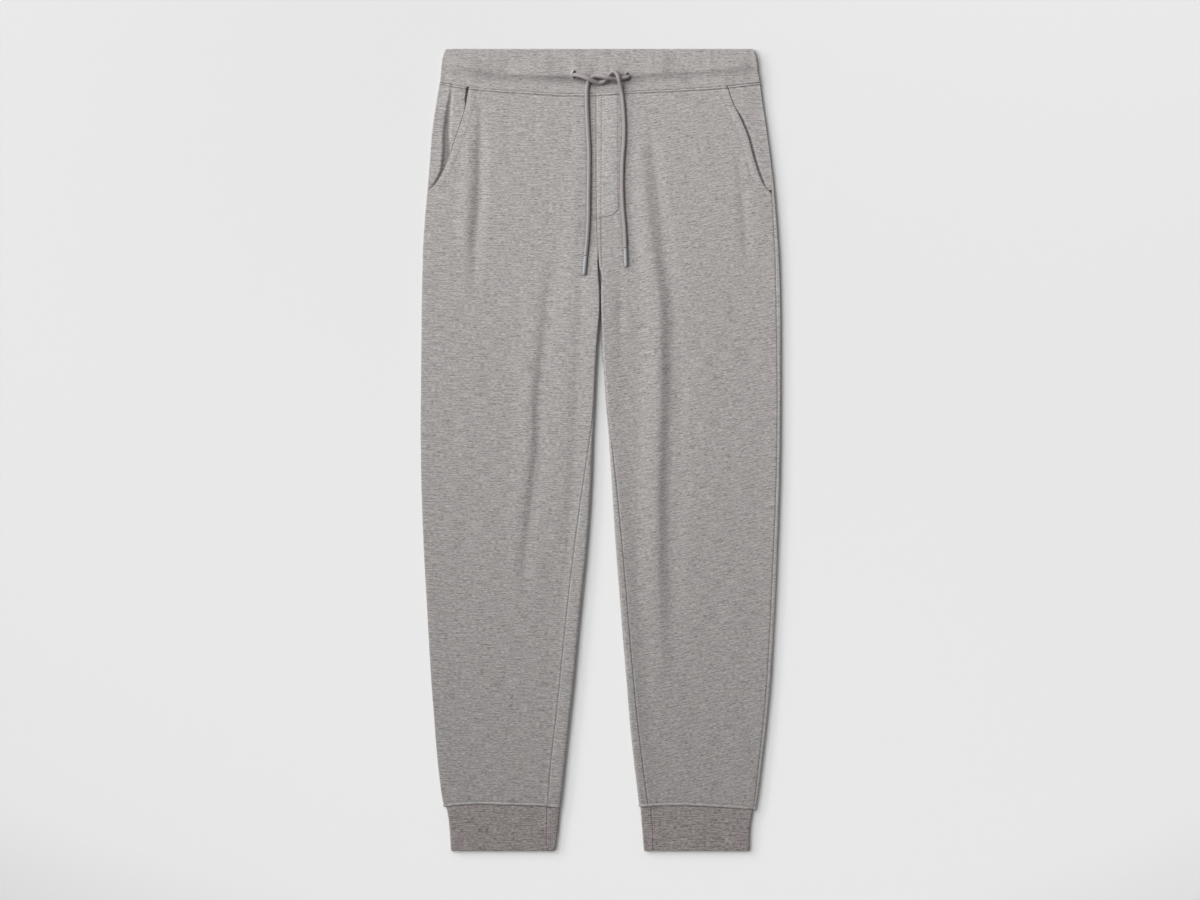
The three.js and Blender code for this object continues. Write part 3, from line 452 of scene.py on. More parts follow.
def section_at(side, row):
    """What the lying leg or hip measures at one row."""
    inward = 1.0 if side == "right" else -1.0
    turn_front = math.pi / 2 * float(smooth(FRONT_TURN_LEVEL, CROTCH_LEVEL, row))
    turn_back = math.pi / 2 * float(smooth(BACK_TURN_LEVEL, CROTCH_LEVEL, row))
    inner = outline(row, "in_" + side) - inward * HALF_GAP * math.sin(turn_front)
    outer = outline(row, "out_" + side)
    over = max(0.0, outline(row, "over_left")) if side == "left" else 0.0
    lower = LOW_CREST * float(smooth(-150, 0, row)) if side == "left" else 0.0
    return SimpleNamespace(
        side=side, row=row, inner=inner, outer=outer, inward=inward, width=abs(inner - outer),
        turn_front=turn_front, turn_back=turn_back, over=over, crest=2 * EDGE_RADIUS - lower,
        curl=SLIT_RADIUS + (EDGE_RADIUS - SLIT_RADIUS) * float(smooth(170, 50, row)),
        wrap=outline(row, "wrap_" + side) * float(smooth(CROTCH_LEVEL + 12, CROTCH_LEVEL, row)),
    )


def ripple(x, y):
    """Soft unevenness of cloth that was smoothed by hand."""
    wide = np.sin(x / 23 + 1.7 * np.sin(y / 61)) * np.sin(y / 37 + 0.8 * np.sin(x / 29))
    small = np.sin(x / 7.1 + np.sin(y / 11.3)) * np.sin(y / 9.7 + 1.3 * np.sin(x / 13.1))
    hem = smooth(-250, -420, y)
    return (0.12 + 0.22 * hem) * wide + (0.03 + 0.09 * hem) * small


def crotch_hill(x, row):
    """How much higher the cloth lies round the crotch."""
    across = np.where(np.asarray(x) > 0, CROTCH_HILL["across_left"], CROTCH_HILL["across_right"])
    return CROTCH_HILL["rise"] * np.exp(
        -np.square(x / across) - np.square((row - CROTCH_HILL["level"]) / CROTCH_HILL["along"])
    )


def height_at(section, from_outer):
    """Height of the upper surface of the lying cloth between its rolled edges."""
    from_inner = section.width - from_outer
    pile = float(follow(PILE_HEIGHT, "y", section.row, "height"))
    leg_edge = smooth(FRONT_TURN_LEVEL + 17, BACK_TURN_LEVEL, section.row)
    near_outer = 1 - smooth(OUTER_RADIUS, EDGE_SPREAD, from_outer)
    near_inner = leg_edge * (1 - smooth(EDGE_RADIUS, EDGE_SPREAD, from_inner))
    edge = np.maximum(near_outer, near_inner)
    x = section.outer + section.inward * from_outer
    free = pile + (fold_rise(x, section.row) + ripple(x, section.row)) * (1 - edge)
    free = free + (2 * OUTER_RADIUS - pile) * near_outer + (section.crest - pile) * near_inner
    return np.maximum(LEAST_HEIGHT, free) + crotch_hill(x, section.row)


def drawn_out(across):
    """Makes the rolled outer edge steep: points near it move out towards it."""
    share = EDGE_STEEP + (1 - EDGE_STEEP) * smooth(0, EDGE_STEEP_REACH, across)
    return across * np.where(across > 0, share, 1.0)


def flat_width(section, turn):
    """Width between the rolled edges."""
    return section.width - OUTER_RADIUS - section.curl * math.sin(turn)


def slit_reach(row):
    """How far each back comes into the slit below the crotch, where no floor shows."""
    gap = outline(row, "in_left") - outline(row, "in_right")
    return min(3.4, max(0.0, gap / 2 - 0.15)) * float(smooth(86, 120, row) * smooth(252, 244, row))


def upper_point(section, length):
    """Point of the upper surface at a length along the cloth, from the outer edge inward."""
    length = np.asarray(length, float)
    flat = flat_width(section, section.turn_front)
    start = OUTER_RADIUS + flat
    on_flat = np.clip(OUTER_RADIUS + length - QUARTER, OUTER_RADIUS, start)
    z_flat = height_at(section, on_flat)
    z_end = height_at(section, np.array([start]))[0]
    first = length / OUTER_RADIUS
    last = (length - QUARTER - flat) / section.curl
    across = np.where(
        length < QUARTER, OUTER_RADIUS * (1 - np.cos(first)),
        np.where(length <= QUARTER + flat, on_flat, start + section.curl * np.sin(last)),
    )
    z = np.where(
        length < QUARTER, OUTER_RADIUS * (1 + np.sin(first)),
        np.where(length <= QUARTER + flat, z_flat, z_end - section.curl * (1 - np.cos(last))),
    )
    return drawn_out(across), z


def upper_length(section):
    return QUARTER + flat_width(section, section.turn_front) + section.curl * section.turn_front


def lower_point(section, length):
    """Point of the back panel: down the outer edge, under the garment and up the inner edge."""
    length = np.asarray(length, float)
    flat = flat_width(section, section.turn_back)
    over_across, over_z = upper_point(section, np.abs(np.minimum(length, 0)))
    first = length / OUTER_RADIUS
    last = (length - QUARTER - flat) / section.curl
    up_across, up_z = upper_point(
        section, upper_length(section) - np.maximum(last - section.turn_back, 0) * section.curl
    )
    lift = (section.crest + float(crotch_hill(section.inner, section.row))) / section.curl - 1
    into_slit = 0.0
    if section.turn_back > 0.2:
        into_slit = slit_reach(section.row) * smooth(-3, 0, last) * smooth(section.turn_back, 0, last)
    places = [length < 0, length < QUARTER, length <= QUARTER + flat, last <= section.turn_back]
    across = np.select(
        places,
        [over_across, drawn_out(OUTER_RADIUS * (1 - np.cos(first))),
         drawn_out(OUTER_RADIUS + length - QUARTER) + into_slit,
         OUTER_RADIUS + flat + section.curl * np.sin(last) + into_slit],
        up_across,
    )
    z = np.select(
        places,
        [over_z, OUTER_RADIUS * (1 - np.sin(first)), 0 * length, section.curl * (1 - np.cos(last)) * lift],
        up_z,
    )
    return across, z


def lower_length(section):
    return QUARTER + flat_width(section, section.turn_back) + section.curl * section.turn_back


def cloth_row(section, point_at, length, flip, detail, origin=0.0, sunk=0.0, thick=CLOTH):
    """One row of a panel: its outer and inner points, its relief and its place on the flat cloth.

    flip is 1 for cloth that runs over the garment and -1 for cloth that runs under it.
    """
    across, z = point_at(section, length)
    before, z_before = point_at(section, length - SLOPE_STEP)
    after, z_after = point_at(section, length + SLOPE_STEP)
    run, climb = after - before, z_after - z_before
    size = np.hypot(run, climb)
    in_x, in_z = flip * climb / size, -flip * run / size

    def shifted(depth):
        x = section.outer + section.inward * (across + in_x * depth)
        under = (flip < 0) & (z < OUTER_RADIUS)
        y = np.where(under, level_at(section.row, x, True), level_at(section.row, x))
        return np.stack([x, y, z + in_z * depth], axis=-1)

    relief = detail(section, length, shifted(sunk))
    outer, inner = shifted(sunk - relief), shifted(sunk + thick)
    on_cloth = np.stack([flip * section.inward * (length - origin), outer[:, 1]], axis=1)
    # Deeper cloth, as in the pocket hollows, is painted darker through the relief: painted shade.
    return outer, inner, relief - PAINTED_HOLLOW_SHADE * np.maximum(sunk - HOLLOW_FROM, 0), on_cloth


# Surface detail of sewn cloth

def lip(distance, depth, reach):
    """The cloth rolls down into a seam."""
    return -depth * np.exp(-np.square(distance / reach))


def swell(distance, middle, half, rise):
    """A band raised by the seam allowance under it, or sunk by a row of stitches."""
    return rise * np.exp(-np.square((distance - middle) / half))


def path_distance(tab, x, y):
    """How far points lie from the path of a table."""
    best = np.full(np.shape(x), 1e6)
    xs, ys = tab["x"], tab["y"]
    for i in range(len(xs) - 1):
        dx, dy = xs[i + 1] - xs[i], ys[i + 1] - ys[i]
        t = np.clip(((x - xs[i]) * dx + (y - ys[i]) * dy) / (dx * dx + dy * dy), 0, 1)
        best = np.minimum(best, np.hypot(x - xs[i] - t * dx, y - ys[i] - t * dy))
    return best


def front_start(section):
    """Length along the cloth from the outer edge to the outer border of a front."""
    base = section.over + HALF_GAP
    if section.row <= POCKET_END:
        return base
    row = max(section.row, POCKET_LAST_ROW)
    reach = abs(float(follow(POCKET, "y", row, section.side)) - section.outer)
    if reach >= OUTER_RADIUS:
        start = QUARTER + reach - OUTER_RADIUS
    else:
        start = OUTER_RADIUS * math.acos(1 - reach / OUTER_RADIUS)
    t = (row - section.row) / (POCKET_LAST_ROW - POCKET_END)
    return start * (1 - t) + base * t


def seam_ends(x, y):
    """Relief along the waist seam and the cuff seam of a panel."""
    below_waist = waist_seam(x) - y
    above_cuff = y - cuff_seam(x)
    gather = np.sin(x / 1.55 + 1.9 * np.sin(x / 17)) * np.exp(-below_waist / 7)
    hem_gather = np.sin(x / 1.8 + 2.3 * np.sin(x / 13)) * np.exp(-above_cuff / 6)
    return (
        lip(below_waist, 0.28, 0.5) + swell(below_waist, 1.7, 1.0, 0.85)
        + swell(below_waist, WAIST_STITCH, 0.75, -0.95) + lip(above_cuff, 1.0, 0.6)
        + swell(above_cuff, 2.5, 1.4, 1.2) + swell(above_cuff, CUFF_STITCH, 0.6, -0.5)
        + 0.16 * gather + 0.16 * hem_gather
    )


def front_detail(section, length, points):
    """Relief of a front: its seams, pocket hem, the cord's dent and the lines of the fly."""
    x, y = points[:, 0], points[:, 1]
    start = front_start(section)
    end = upper_length(section) - section.wrap - HALF_GAP
    from_start, from_end = length - start, end - length
    pocket = float(smooth(POCKET_END + 2, POCKET_END + 20, section.row))
    relief = seam_ends(x, y) + lip(from_end, 0.35, 0.7) + 0.12 * swell(from_end, 2.2, 1.4, 1.0)
    relief += (1 - pocket) * lip(from_start, 0.6, 0.6)
    rolled = 0.35 if section.side == "left" else 0.08
    hem = lip(from_start, rolled, 0.8) + swell(from_start, 5.0, 4.0, 0.3)
    relief += pocket * (hem + swell(from_start, 10.5, 0.7, -0.22))
    if CORD_LOWEST < section.row < WAIST_LEVEL:
        cord = CORD_ROUTES["left_exit" if section.side == "right" else "right_exit"]
        pressed = np.exp(-np.square(path_distance(cord, x, y) / CORD_DENT_REACH)) * (1 - smooth(452, 462, y))
        relief -= CORD_DENT * pressed
    if section.side == "left" and FLY_LOWEST < section.row < WAIST_LEVEL:
        fly = path_distance(FLY_CURVE, x, y)
        inner = path_distance(FLY_LINE, x, y)
        crotch = path_distance(CROTCH_LINE, x, y)
        bend = 1 - smooth(318, 345, y)
        relief += lip(fly, 0.2 + 0.6 * bend, 1.0) + lip(inner, 0.45, 0.8) + lip(crotch, 0.5, 1.1)
        relief += 0.5 * smooth(300.5, 303, y) * (1 - smooth(17, 26, x))
    return relief


def back_detail(section, length, points):
    """Relief of a back, only where it comes round to the top of the garment."""
    from_start = length + section.over - HALF_GAP
    from_end = lower_length(section) + section.wrap - HALF_GAP - length
    on_top = smooth(1.6, OUTER_RADIUS, points[:, 2])
    relief = lip(from_start, 0.6, 0.6) + lip(from_end, 0.75, 0.75) + 0.12 * swell(from_end, 2.2, 1.4, 1.0)
    return on_top * (relief + seam_ends(points[:, 0], points[:, 1]))


def facing_depth(section, length, start):
    """How deep the pocket facing lies below the level of the cloth around it."""
    under = CLOTH + 0.3
    flush = 0.4 if section.side == "left" else 0.15
    outside = start - 0.4 - length
    fade = float(smooth(334, 342, section.row))
    if section.side == "left":
        slit = float(smooth(448, 425, section.row) * smooth(338, 350, section.row))
        drop = 1 - smooth(0.2 + 1.2 * slit, 1.2 + 3.6 * slit, outside)
        depth = flush + (under + 2.5 * slit - flush) * drop
    else:
        top = float(smooth(449, 461, section.row))
        drop = 1 - smooth(top, 0.3 + 3.2 * top, outside + 0.15)
        depth = flush + (under + 2.2 * top - flush) * drop
        columns = ("inset", "depth", "fall", "climb")
        inset, deep, fall, climb = (float(follow(POCKET_HOLLOW, "y", section.row, c)) for c in columns)
        beyond = length - QUARTER + OUTER_RADIUS - inset
        depth = depth + deep * (1 - smooth(0, fall, -beyond)) * (1 - smooth(0, climb, beyond))
    depth = fade * depth * smooth(QUARTER - 3.2, QUARTER + 3.4, length)
    height = upper_point(section, length)[1]
    room = height - (CLOTH + 0.15 + FACING_CLOTH)
    return np.where(length < QUARTER, depth, np.minimum(depth, room))


def facing_detail(section, length, points):
    return seam_ends(points[:, 0], points[:, 1])


# Meshes

def metres(points):
    """Points of the drawing, moved into the frame."""
    return (np.asarray(points) + np.array([SIDE_SHIFT, 0, 0])) * MM


def new_mesh(name, verts, faces, uvs=None):
    """Mesh of points in metres; uvs are places on the flat cloth in millimetres, for each corner."""
    mesh = bpy.data.meshes.new(name)
    mesh.from_pydata(verts.tolist(), [], faces)
    if uvs is not None:
        layer = mesh.uv_layers.new(name="cloth")
        layer.data.foreach_set("uv", (np.reshape(uvs, (-1, 2)) * MM).ravel())
    mesh.update()
    return mesh


def wall_mesh(name, grids, ring=False):
    """Closed cloth wall from rows of outer points, inner points, relief and the cloth's own lengths."""
    outer, inner, relief, along = (np.array(grid) for grid in zip(*grids))
    rows, columns = outer.shape[:2]
    spans = columns if ring else columns - 1
    half = rows * columns
    verts = metres(np.concatenate([outer.reshape(-1, 3), inner.reshape(-1, 3)]))
    i, j = np.meshgrid(np.arange(rows - 1), np.arange(spans), indexing="ij")
    i, j = i.ravel(), j.ravel()
    k = (j + 1) % columns
    a, b, c, d = i * columns + j, (i + 1) * columns + j, (i + 1) * columns + k, i * columns + k
    top = np.stack([a, b, c, d], axis=1)
    top_uv = np.stack([along[i, j], along[i + 1, j], along[i + 1, j + 1], along[i, j + 1]], axis=1)
    low = np.stack([a, d, c, b], axis=1) + half
    low_uv = top_uv[:, [0, 3, 2, 1]]

    def rim(p, q, along_p, along_q):
        return (
            np.stack([p, q, half + q, half + p], axis=1),
            np.stack([along_p, along_q, along_q, along_p], axis=1),
        )

    j = np.arange(spans)
    k = (j + 1) % columns
    end = (rows - 1) * columns
    rims = [rim(j, k, along[0, j], along[0, j + 1]), rim(end + k, end + j, along[-1, j + 1], along[-1, j])]
    if not ring:
        i = np.arange(rows - 1)
        p, q, last = i * columns, (i + 1) * columns, columns - 1
        rims.append(rim(q, p, along[i + 1, 0], along[i, 0]))
        rims.append(rim(p + last, q + last, along[i, -1], along[i + 1, -1]))
    faces = np.concatenate([top, low] + [faces for faces, _ in rims])
    uvs = np.concatenate([top_uv, low_uv] + [uv for _, uv in rims])
    corners = verts[faces]
    normal = np.cross(corners[:, 1] - corners[:, 0], corners[:, 2] - corners[:, 0])
    if np.sum(corners[:, 0] * normal) < 0:
        faces, uvs = faces[:, ::-1], uvs[:, ::-1]
    mesh = new_mesh(name, verts, faces.tolist(), uvs)
    # The relief is kept on the mesh to paint highlight and shade into the colour of the cloth.
    raised = mesh.attributes.new("relief", "FLOAT", "POINT")
    raised.data.foreach_set("value", np.concatenate([relief.ravel(), np.zeros(half)]).clip(*RELIEF_LIMITS))
    mesh.validate()
    return add_piece(name, mesh)


def add_piece(name, mesh):
    """Makes the object of a mesh, smooth except at sharp edges."""
    piece = bpy.data.objects.new(name, mesh)
    bpy.context.collection.objects.link(piece)
    deselect_all()
    piece.select_set(True)
    bpy.context.view_layer.objects.active = piece
    bpy.ops.object.shade_smooth_by_angle(angle=math.radians(50))
    return piece


def deselect_all():
    if bpy.context.object and bpy.context.object.mode != "OBJECT":
        bpy.ops.object.mode_set(mode="OBJECT")
    bpy.ops.object.select_all(action="DESELECT")


def finish_piece(piece, material, nodes=()):
    """Dresses a piece, hangs it under the root body and hides the parts of the frame that it stands for."""
    piece.data.materials.clear()
    piece.data.materials.append(material)
    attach(piece, "root")
    if nodes:
        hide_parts(*nodes)
    return piece


def panel_rows(step=3.1, more=()):
    """Rows of a panel, close together at its seams and at the end of the pocket."""
    top = WAIST_LEVEL - np.array([0.15, 0.5, 0.9, 1.4, 2.0, 2.7, 3.4, 4.2, 5.2, 6.6, 8.6])
    bottom = HEM_LEVEL + np.array([9.5, 7.6, 6.2, 5.4, 4.8, 4.2, 3.4, 2.4, 1.6, 1.0, 0.55, 0.15])
    middle = np.arange(top[-1] - step, bottom[0] + step, -step)
    pocket = np.array([345, 342, 339, 336, 334.5, 333, 331])
    rows = np.unique(np.concatenate([top, middle, bottom, pocket, more]))[::-1]
    keep = [0] + [i for i in range(1, len(rows)) if rows[i - 1] - rows[i] > 0.3]
    return rows[keep]


def shared(start_offsets, end_offsets, count, start, end):
    """Lengths from start to end: fixed steps at both borders and even steps between them."""
    first = start + np.array(start_offsets)
    last = end - np.array(end_offsets)[::-1]
    middle = np.linspace(first[-1], last[0], count + 2)[1:-1]
    return np.concatenate([first, middle, last])


# Materials

class NodeBuilder:
    """Short names for building a material's nodes."""

    def __init__(self, name):
        self.material = bpy.data.materials.new(name)
        self.material.use_nodes = True
        self.tree = self.material.node_tree
        self.tree.nodes.clear()

    def add(self, kind, inputs=(), **settings):
        node = self.tree.nodes.new(kind)
        for key, value in settings.items():
            setattr(node, key, value)
        for key, value in dict(inputs).items():
            if isinstance(value, bpy.types.NodeSocket):
                self.tree.links.new(value, node.inputs[key])
            else:
                node.inputs[key].default_value = value
        return node

    def math(self, operation, a, b=0.0, c=0.0):
        return self.add("ShaderNodeMath", {0: a, 1: b, 2: c}, operation=operation).outputs[0]

    def place(self, scale, turn=0.0, shift=(0, 0, 0), source="UV"):
        here = self.add("ShaderNodeTexCoord").outputs[source]
        turned = self.add("ShaderNodeMapping", {"Vector": here, "Location": shift, "Rotation": (0, 0, turn)})
        return self.add("ShaderNodeMapping", {"Vector": turned.outputs[0], "Scale": scale}).outputs[0]

    def noise(self, vector, detail=2.0, roughness=0.5):
        inputs = {"Vector": vector, "Scale": 1.0, "Detail": detail, "Roughness": roughness}
        return self.add("ShaderNodeTexNoise", inputs).outputs["Fac"]

    def total(self, *terms):
        """Sum of values, each times its weight."""
        parts = [self.math("MULTIPLY", value, weight) for value, weight in terms]
        total = parts[0]
        for part in parts[1:]:
            total = self.math("ADD", total, part)
        return total

    def wave(self, value, length, operation="SINE"):
        """Wave with a length in metres."""
        return self.math(operation, self.math("MULTIPLY", value, 2 * math.pi / length))

    def ramp(self, value, colour, stops):
        """The colour, times the factor of each stop."""
        node = self.add("ShaderNodeValToRGB", {"Fac": value})
        ramp = node.color_ramp
        while len(ramp.elements) < len(stops):
            ramp.elements.new(0.5)
        for element, (position, factor) in zip(ramp.elements, stops):
            element.position = position
            element.color = (*shade(colour, factor), 1)
        return node.outputs["Color"]

    def output(self, tone, roughness, shine, bump=(), sheen=()):
        """The finished material; bump is a height, a strength and a distance."""
        inputs = {"Base Color": tone, "Roughness": roughness, "Specular IOR Level": shine}
        if bump:
            node = self.add("ShaderNodeBump", zip(("Height", "Strength", "Distance"), bump))
            inputs["Normal"] = node.outputs[0]
        inputs.update(zip(("Sheen Weight", "Sheen Roughness"), sheen))
        shader = self.add("ShaderNodeBsdfPrincipled", inputs)
        self.add("ShaderNodeOutputMaterial", {"Surface": shader.outputs[0]})
        return self.material


def shade(colour, factor):
    return tuple(min(1.0, c * factor) for c in colour)


def melange(name, colour, turn, seed, contrast, rib=0.0):
    """Grey melange knit: short lighter and darker streaks along the courses, fine loops and nap, with
    highlight and shade painted in by the relief.
    """
    nodes = NodeBuilder(name)
    shift = (seed, seed * 0.7, 0)
    streak = nodes.noise(nodes.place((50, 640, 1), turn, shift), 2.0, 0.6)
    short = nodes.noise(nodes.place((210, 820, 1), turn, shift), 1.0, 0.6)
    fine = nodes.noise(nodes.place((640, 1500, 1), turn, shift), 2.0, 0.65)
    mix = nodes.total((streak, 0.30), (short, 0.36), (fine, 0.34))
    spread = MELANGE_SPREAD * contrast
    tone = nodes.ramp(mix, colour, [
        (0.36, 1 - 1.25 * spread), (0.46, 1 - 0.4 * spread),
        (0.53, 1 + 0.35 * spread), (0.66, 1 + 1.3 * spread),
    ])
    # Painted highlight and shade: the tone is made paler on ridges and darker in grooves by the mesh's
    # relief.
    raised = nodes.add("ShaderNodeAttribute", attribute_name="relief").outputs["Fac"]
    painted_shade = nodes.math("MULTIPLY_ADD", raised, PAINTED_SHADE_ON_RELIEF, 1.0)
    tone = nodes.add("ShaderNodeVectorMath", {0: tone, "Scale": painted_shade}, operation="SCALE").outputs[0]
    here = nodes.add("ShaderNodeSeparateXYZ", {0: nodes.place((1, 1, 1), turn)})
    loops = nodes.math("MULTIPLY", nodes.wave(here.outputs[0], WALE), nodes.wave(here.outputs[1], COURSE))
    nap = nodes.noise(nodes.place((2600, 2600, 1)), 2.0, 0.7)
    heights = [(loops, 0.35), (nap, 0.9), (short, 0.7)]
    if rib:
        heights.append((nodes.wave(here.outputs[0], RIB), rib))
    return nodes.output(tone, 0.96, 0.2, (nodes.total(*heights), 0.55, 0.00022), (0.22, 0.6))


def knitted_cord(name, colour):
    """Round knitted cord with slanting ribs of small loops."""
    nodes = NodeBuilder(name)
    here = nodes.add("ShaderNodeSeparateXYZ", {0: nodes.place((1, 1, 1))})
    sway = nodes.math("MULTIPLY", nodes.wave(here.outputs[1], CORD_RIB), 1.6)
    along = nodes.math("MULTIPLY", here.outputs[0], 2 * math.pi / CORD_LOOP)
    lean = nodes.math("SINE", nodes.math("ADD", along, sway))
    height = nodes.total((lean, 0.6), (nodes.wave(here.outputs[1], CORD_RIB, "COSINE"), 0.5))
    speck = nodes.noise(nodes.place((520, 900, 1)), 2.0, 0.6)
    # Painted shade and highlight: the tone is darker in the grooves between the ribs and paler on their
    # tops, by their height, along with the yarn's speckle.
    mix = nodes.math("MULTIPLY_ADD", height, 0.09, speck)
    tone = nodes.ramp(mix, colour, [(0.3, 0.80), (0.5, 1.0), (0.7, 1.14)])
    return nodes.output(tone, 0.9, 0.25, (height, 0.7, 0.00025), (0.15, 0.5))


def dipped_end(name, colour):
    """Smooth coating of a cord's end, a little mottled."""
    nodes = NodeBuilder(name)
    mottle = nodes.noise(nodes.place((300, 700, 1)))
    tone = nodes.ramp(mottle, colour, [(0.35, 0.93), (0.65, 1.05)])
    return nodes.output(tone, 0.5, 0.4, (mottle, 0.25, 0.0002))


def sewing_thread(name, colour):
    nodes = NodeBuilder(name)
    ply = nodes.noise(nodes.place((3200, 3200, 3200), source="Object"), 1.0)
    return nodes.output(nodes.ramp(ply, colour, [(0.35, 0.86), (0.65, 1.1)]), 0.7, 0.35)


def plain_floor(name, colour):
    """Pale surface whose tone follows FLOOR_EVEN."""
    nodes = NodeBuilder(name)
    here = nodes.add("ShaderNodeSeparateXYZ", {0: nodes.place((1, 1, 1), source="Object")})
    x, y = here.outputs[0], here.outputs[1]
    tone = nodes.add("ShaderNodeValue")
    tone.outputs[0].default_value = FLOOR_EVEN["even"]
    total = tone.outputs[0]
    for key, a, b in (("x", x, 1.0), ("y", y, 1.0), ("xx", x, x), ("xy", x, y), ("yy", y, y)):
        total = nodes.math("MULTIPLY_ADD", nodes.math("MULTIPLY", a, b), FLOOR_EVEN[key], total)
    grey = nodes.math("MINIMUM", nodes.math("MAXIMUM", total, 0.5), 1.0)
    scaled = nodes.add("ShaderNodeVectorMath", {0: (*colour,), "Scale": grey}, operation="SCALE")
    return nodes.output(scaled.outputs[0], 0.95, 0.1)


# Stitches

def stitch_shape():
    """One stitch of thread: a small ball, stretched and flattened."""
    deselect_all()
    bpy.ops.mesh.primitive_uv_sphere_add(segments=6, ring_count=4, radius=1.0, location=(0, 0, 0))
    ball = bpy.context.object
    bpy.ops.object.mode_set(mode="EDIT")
    bpy.ops.mesh.select_all(action="SELECT")
    bpy.ops.transform.rotate(value=math.pi / 2, orient_axis="Y", center_override=(0, 0, 0))
    bpy.ops.transform.resize(value=(1.0, 0.17, 0.13), center_override=(0, 0, 0))
    bpy.ops.object.mode_set(mode="OBJECT")
    mesh = ball.data
    verts = np.array([v.co[:] for v in mesh.vertices])
    # Blender puts the ball's faces in another order each time, so they are sorted.
    faces = [list(p.vertices) for p in mesh.polygons]
    faces = sorted(face[face.index(min(face)):] + face[:face.index(min(face))] for face in faces)
    bpy.data.objects.remove(ball, do_unlink=True)
    bpy.data.meshes.remove(mesh)
    return verts, faces


def sew(name, runs, thread, length=2.7):
    """Copies one stitch along runs of surface points; a run is (points, normals, aims or None)."""
    verts, faces = stitch_shape()
    verts = verts * (length / 2)
    all_verts, all_faces = [], []
    for middle, up, aim in runs:
        if aim is None:
            reach = reaches(middle)
            count = max(2, int(reach[-1] / STITCH_PITCH))
            at = (np.arange(count) + 0.5) * reach[-1] / count
            up = at_reach(at, reach, up)
            aim = at_reach(at + 0.6, reach, middle) - at_reach(at - 0.6, reach, middle)
            middle = at_reach(at, reach, middle)
        for m, u, d in zip(middle, up, aim):
            u = u / np.linalg.norm(u)
            d = d - u * np.dot(d, u)
            d = d / np.linalg.norm(d)
            moved = m + u * 0.05 + verts[:, :1] * d + verts[:, 1:2] * np.cross(u, d) + verts[:, 2:] * u
            base = len(all_verts) * len(verts)
            all_faces.extend(tuple(base + i for i in face) for face in faces)
            all_verts.append(metres(moved))
    mesh = new_mesh(name, np.concatenate(all_verts), all_faces)
    return finish_piece(add_piece(name, mesh), thread)


def row_of(x, y):
    """The panel row that passes through a point of the front."""
    row = np.asarray(y, float)
    for _ in range(6):
        row = row + (y - level_at(row, x))
    return row


def on_front(side, xs, ys):
    """A run of points on the outer face of a front, with their normals."""
    points, normals = [], []
    for x, y in zip(xs, ys):
        section = section_at(side, float(row_of(x, y)))
        length = QUARTER + abs(x - section.outer) - OUTER_RADIUS
        outer = cloth_row(section, upper_point, length + np.array([-0.6, 0, 0.6]), 1, front_detail)[0]
        tangent = outer[2] - outer[0]
        normal = np.array([-tangent[2], 0, tangent[0]]) * math.copysign(1, tangent[0])
        points.append(outer[1])
        normals.append(normal / np.linalg.norm(normal))
    return np.array(points), np.array(normals), None


def spaced(tab, step, offset):
    """Points along a table's path, moved sideways by offset."""
    path = np.stack([tab["x"], tab["y"]], axis=1)
    reach = reaches(path)
    x, y = at_reach(np.linspace(0, reach[-1], int(reach[-1] / step) + 2), reach, path).T
    dx, dy = np.gradient(x), np.gradient(y)
    size = np.hypot(dx, dy)
    return x - dy / size * offset, y + dx / size * offset


# Drawcord

def cloth_top(x, y):
    """Height of the panels, and above the waist seam that of the waistband."""
    seam = float(waist_seam(x))
    section = section_at("right" if x < -3 else "left", min(y, WAIST_LEVEL - 1))
    panel = float(height_at(section, np.array([abs(x - section.outer)]))[0])
    t = float(smooth(seam - 12, seam - 3, y))
    return panel * (1 - t) + 2 * BAND_RADIUS * t


def cord_line(route):
    """Centre line of a cord, evenly spaced, through the points of its route."""
    p = [[x, y, cloth_top(x, y) + lift] for x, y, lift in zip(route["x"], route["y"], route["lift"])]
    p = np.array(p)
    p = np.concatenate([[2 * p[0] - p[1]], p, [2 * p[-1] - p[-2]]])
    points = []
    for i in range(1, len(p) - 2):
        before, a, b, after = p[i - 1:i + 3]
        lead, gap, trail = (np.linalg.norm(p[i + k] - p[i + k - 1]) ** 0.5 for k in range(3))
        start = (b - a) - gap / (lead + gap) * (b - before) + gap / lead * (a - before)
        end = (b - a) - gap / (gap + trail) * (after - a) + gap / trail * (after - b)
        points += [hermite(t, a, start, b, end) for t in np.linspace(0, 1, 24, endpoint=False)]
    points = np.array(points + [p[-2]])
    reach = reaches(points)
    return at_reach(np.linspace(0, reach[-1], int(reach[-1] / CORD_STEP) + 1), reach, points), reach[-1]


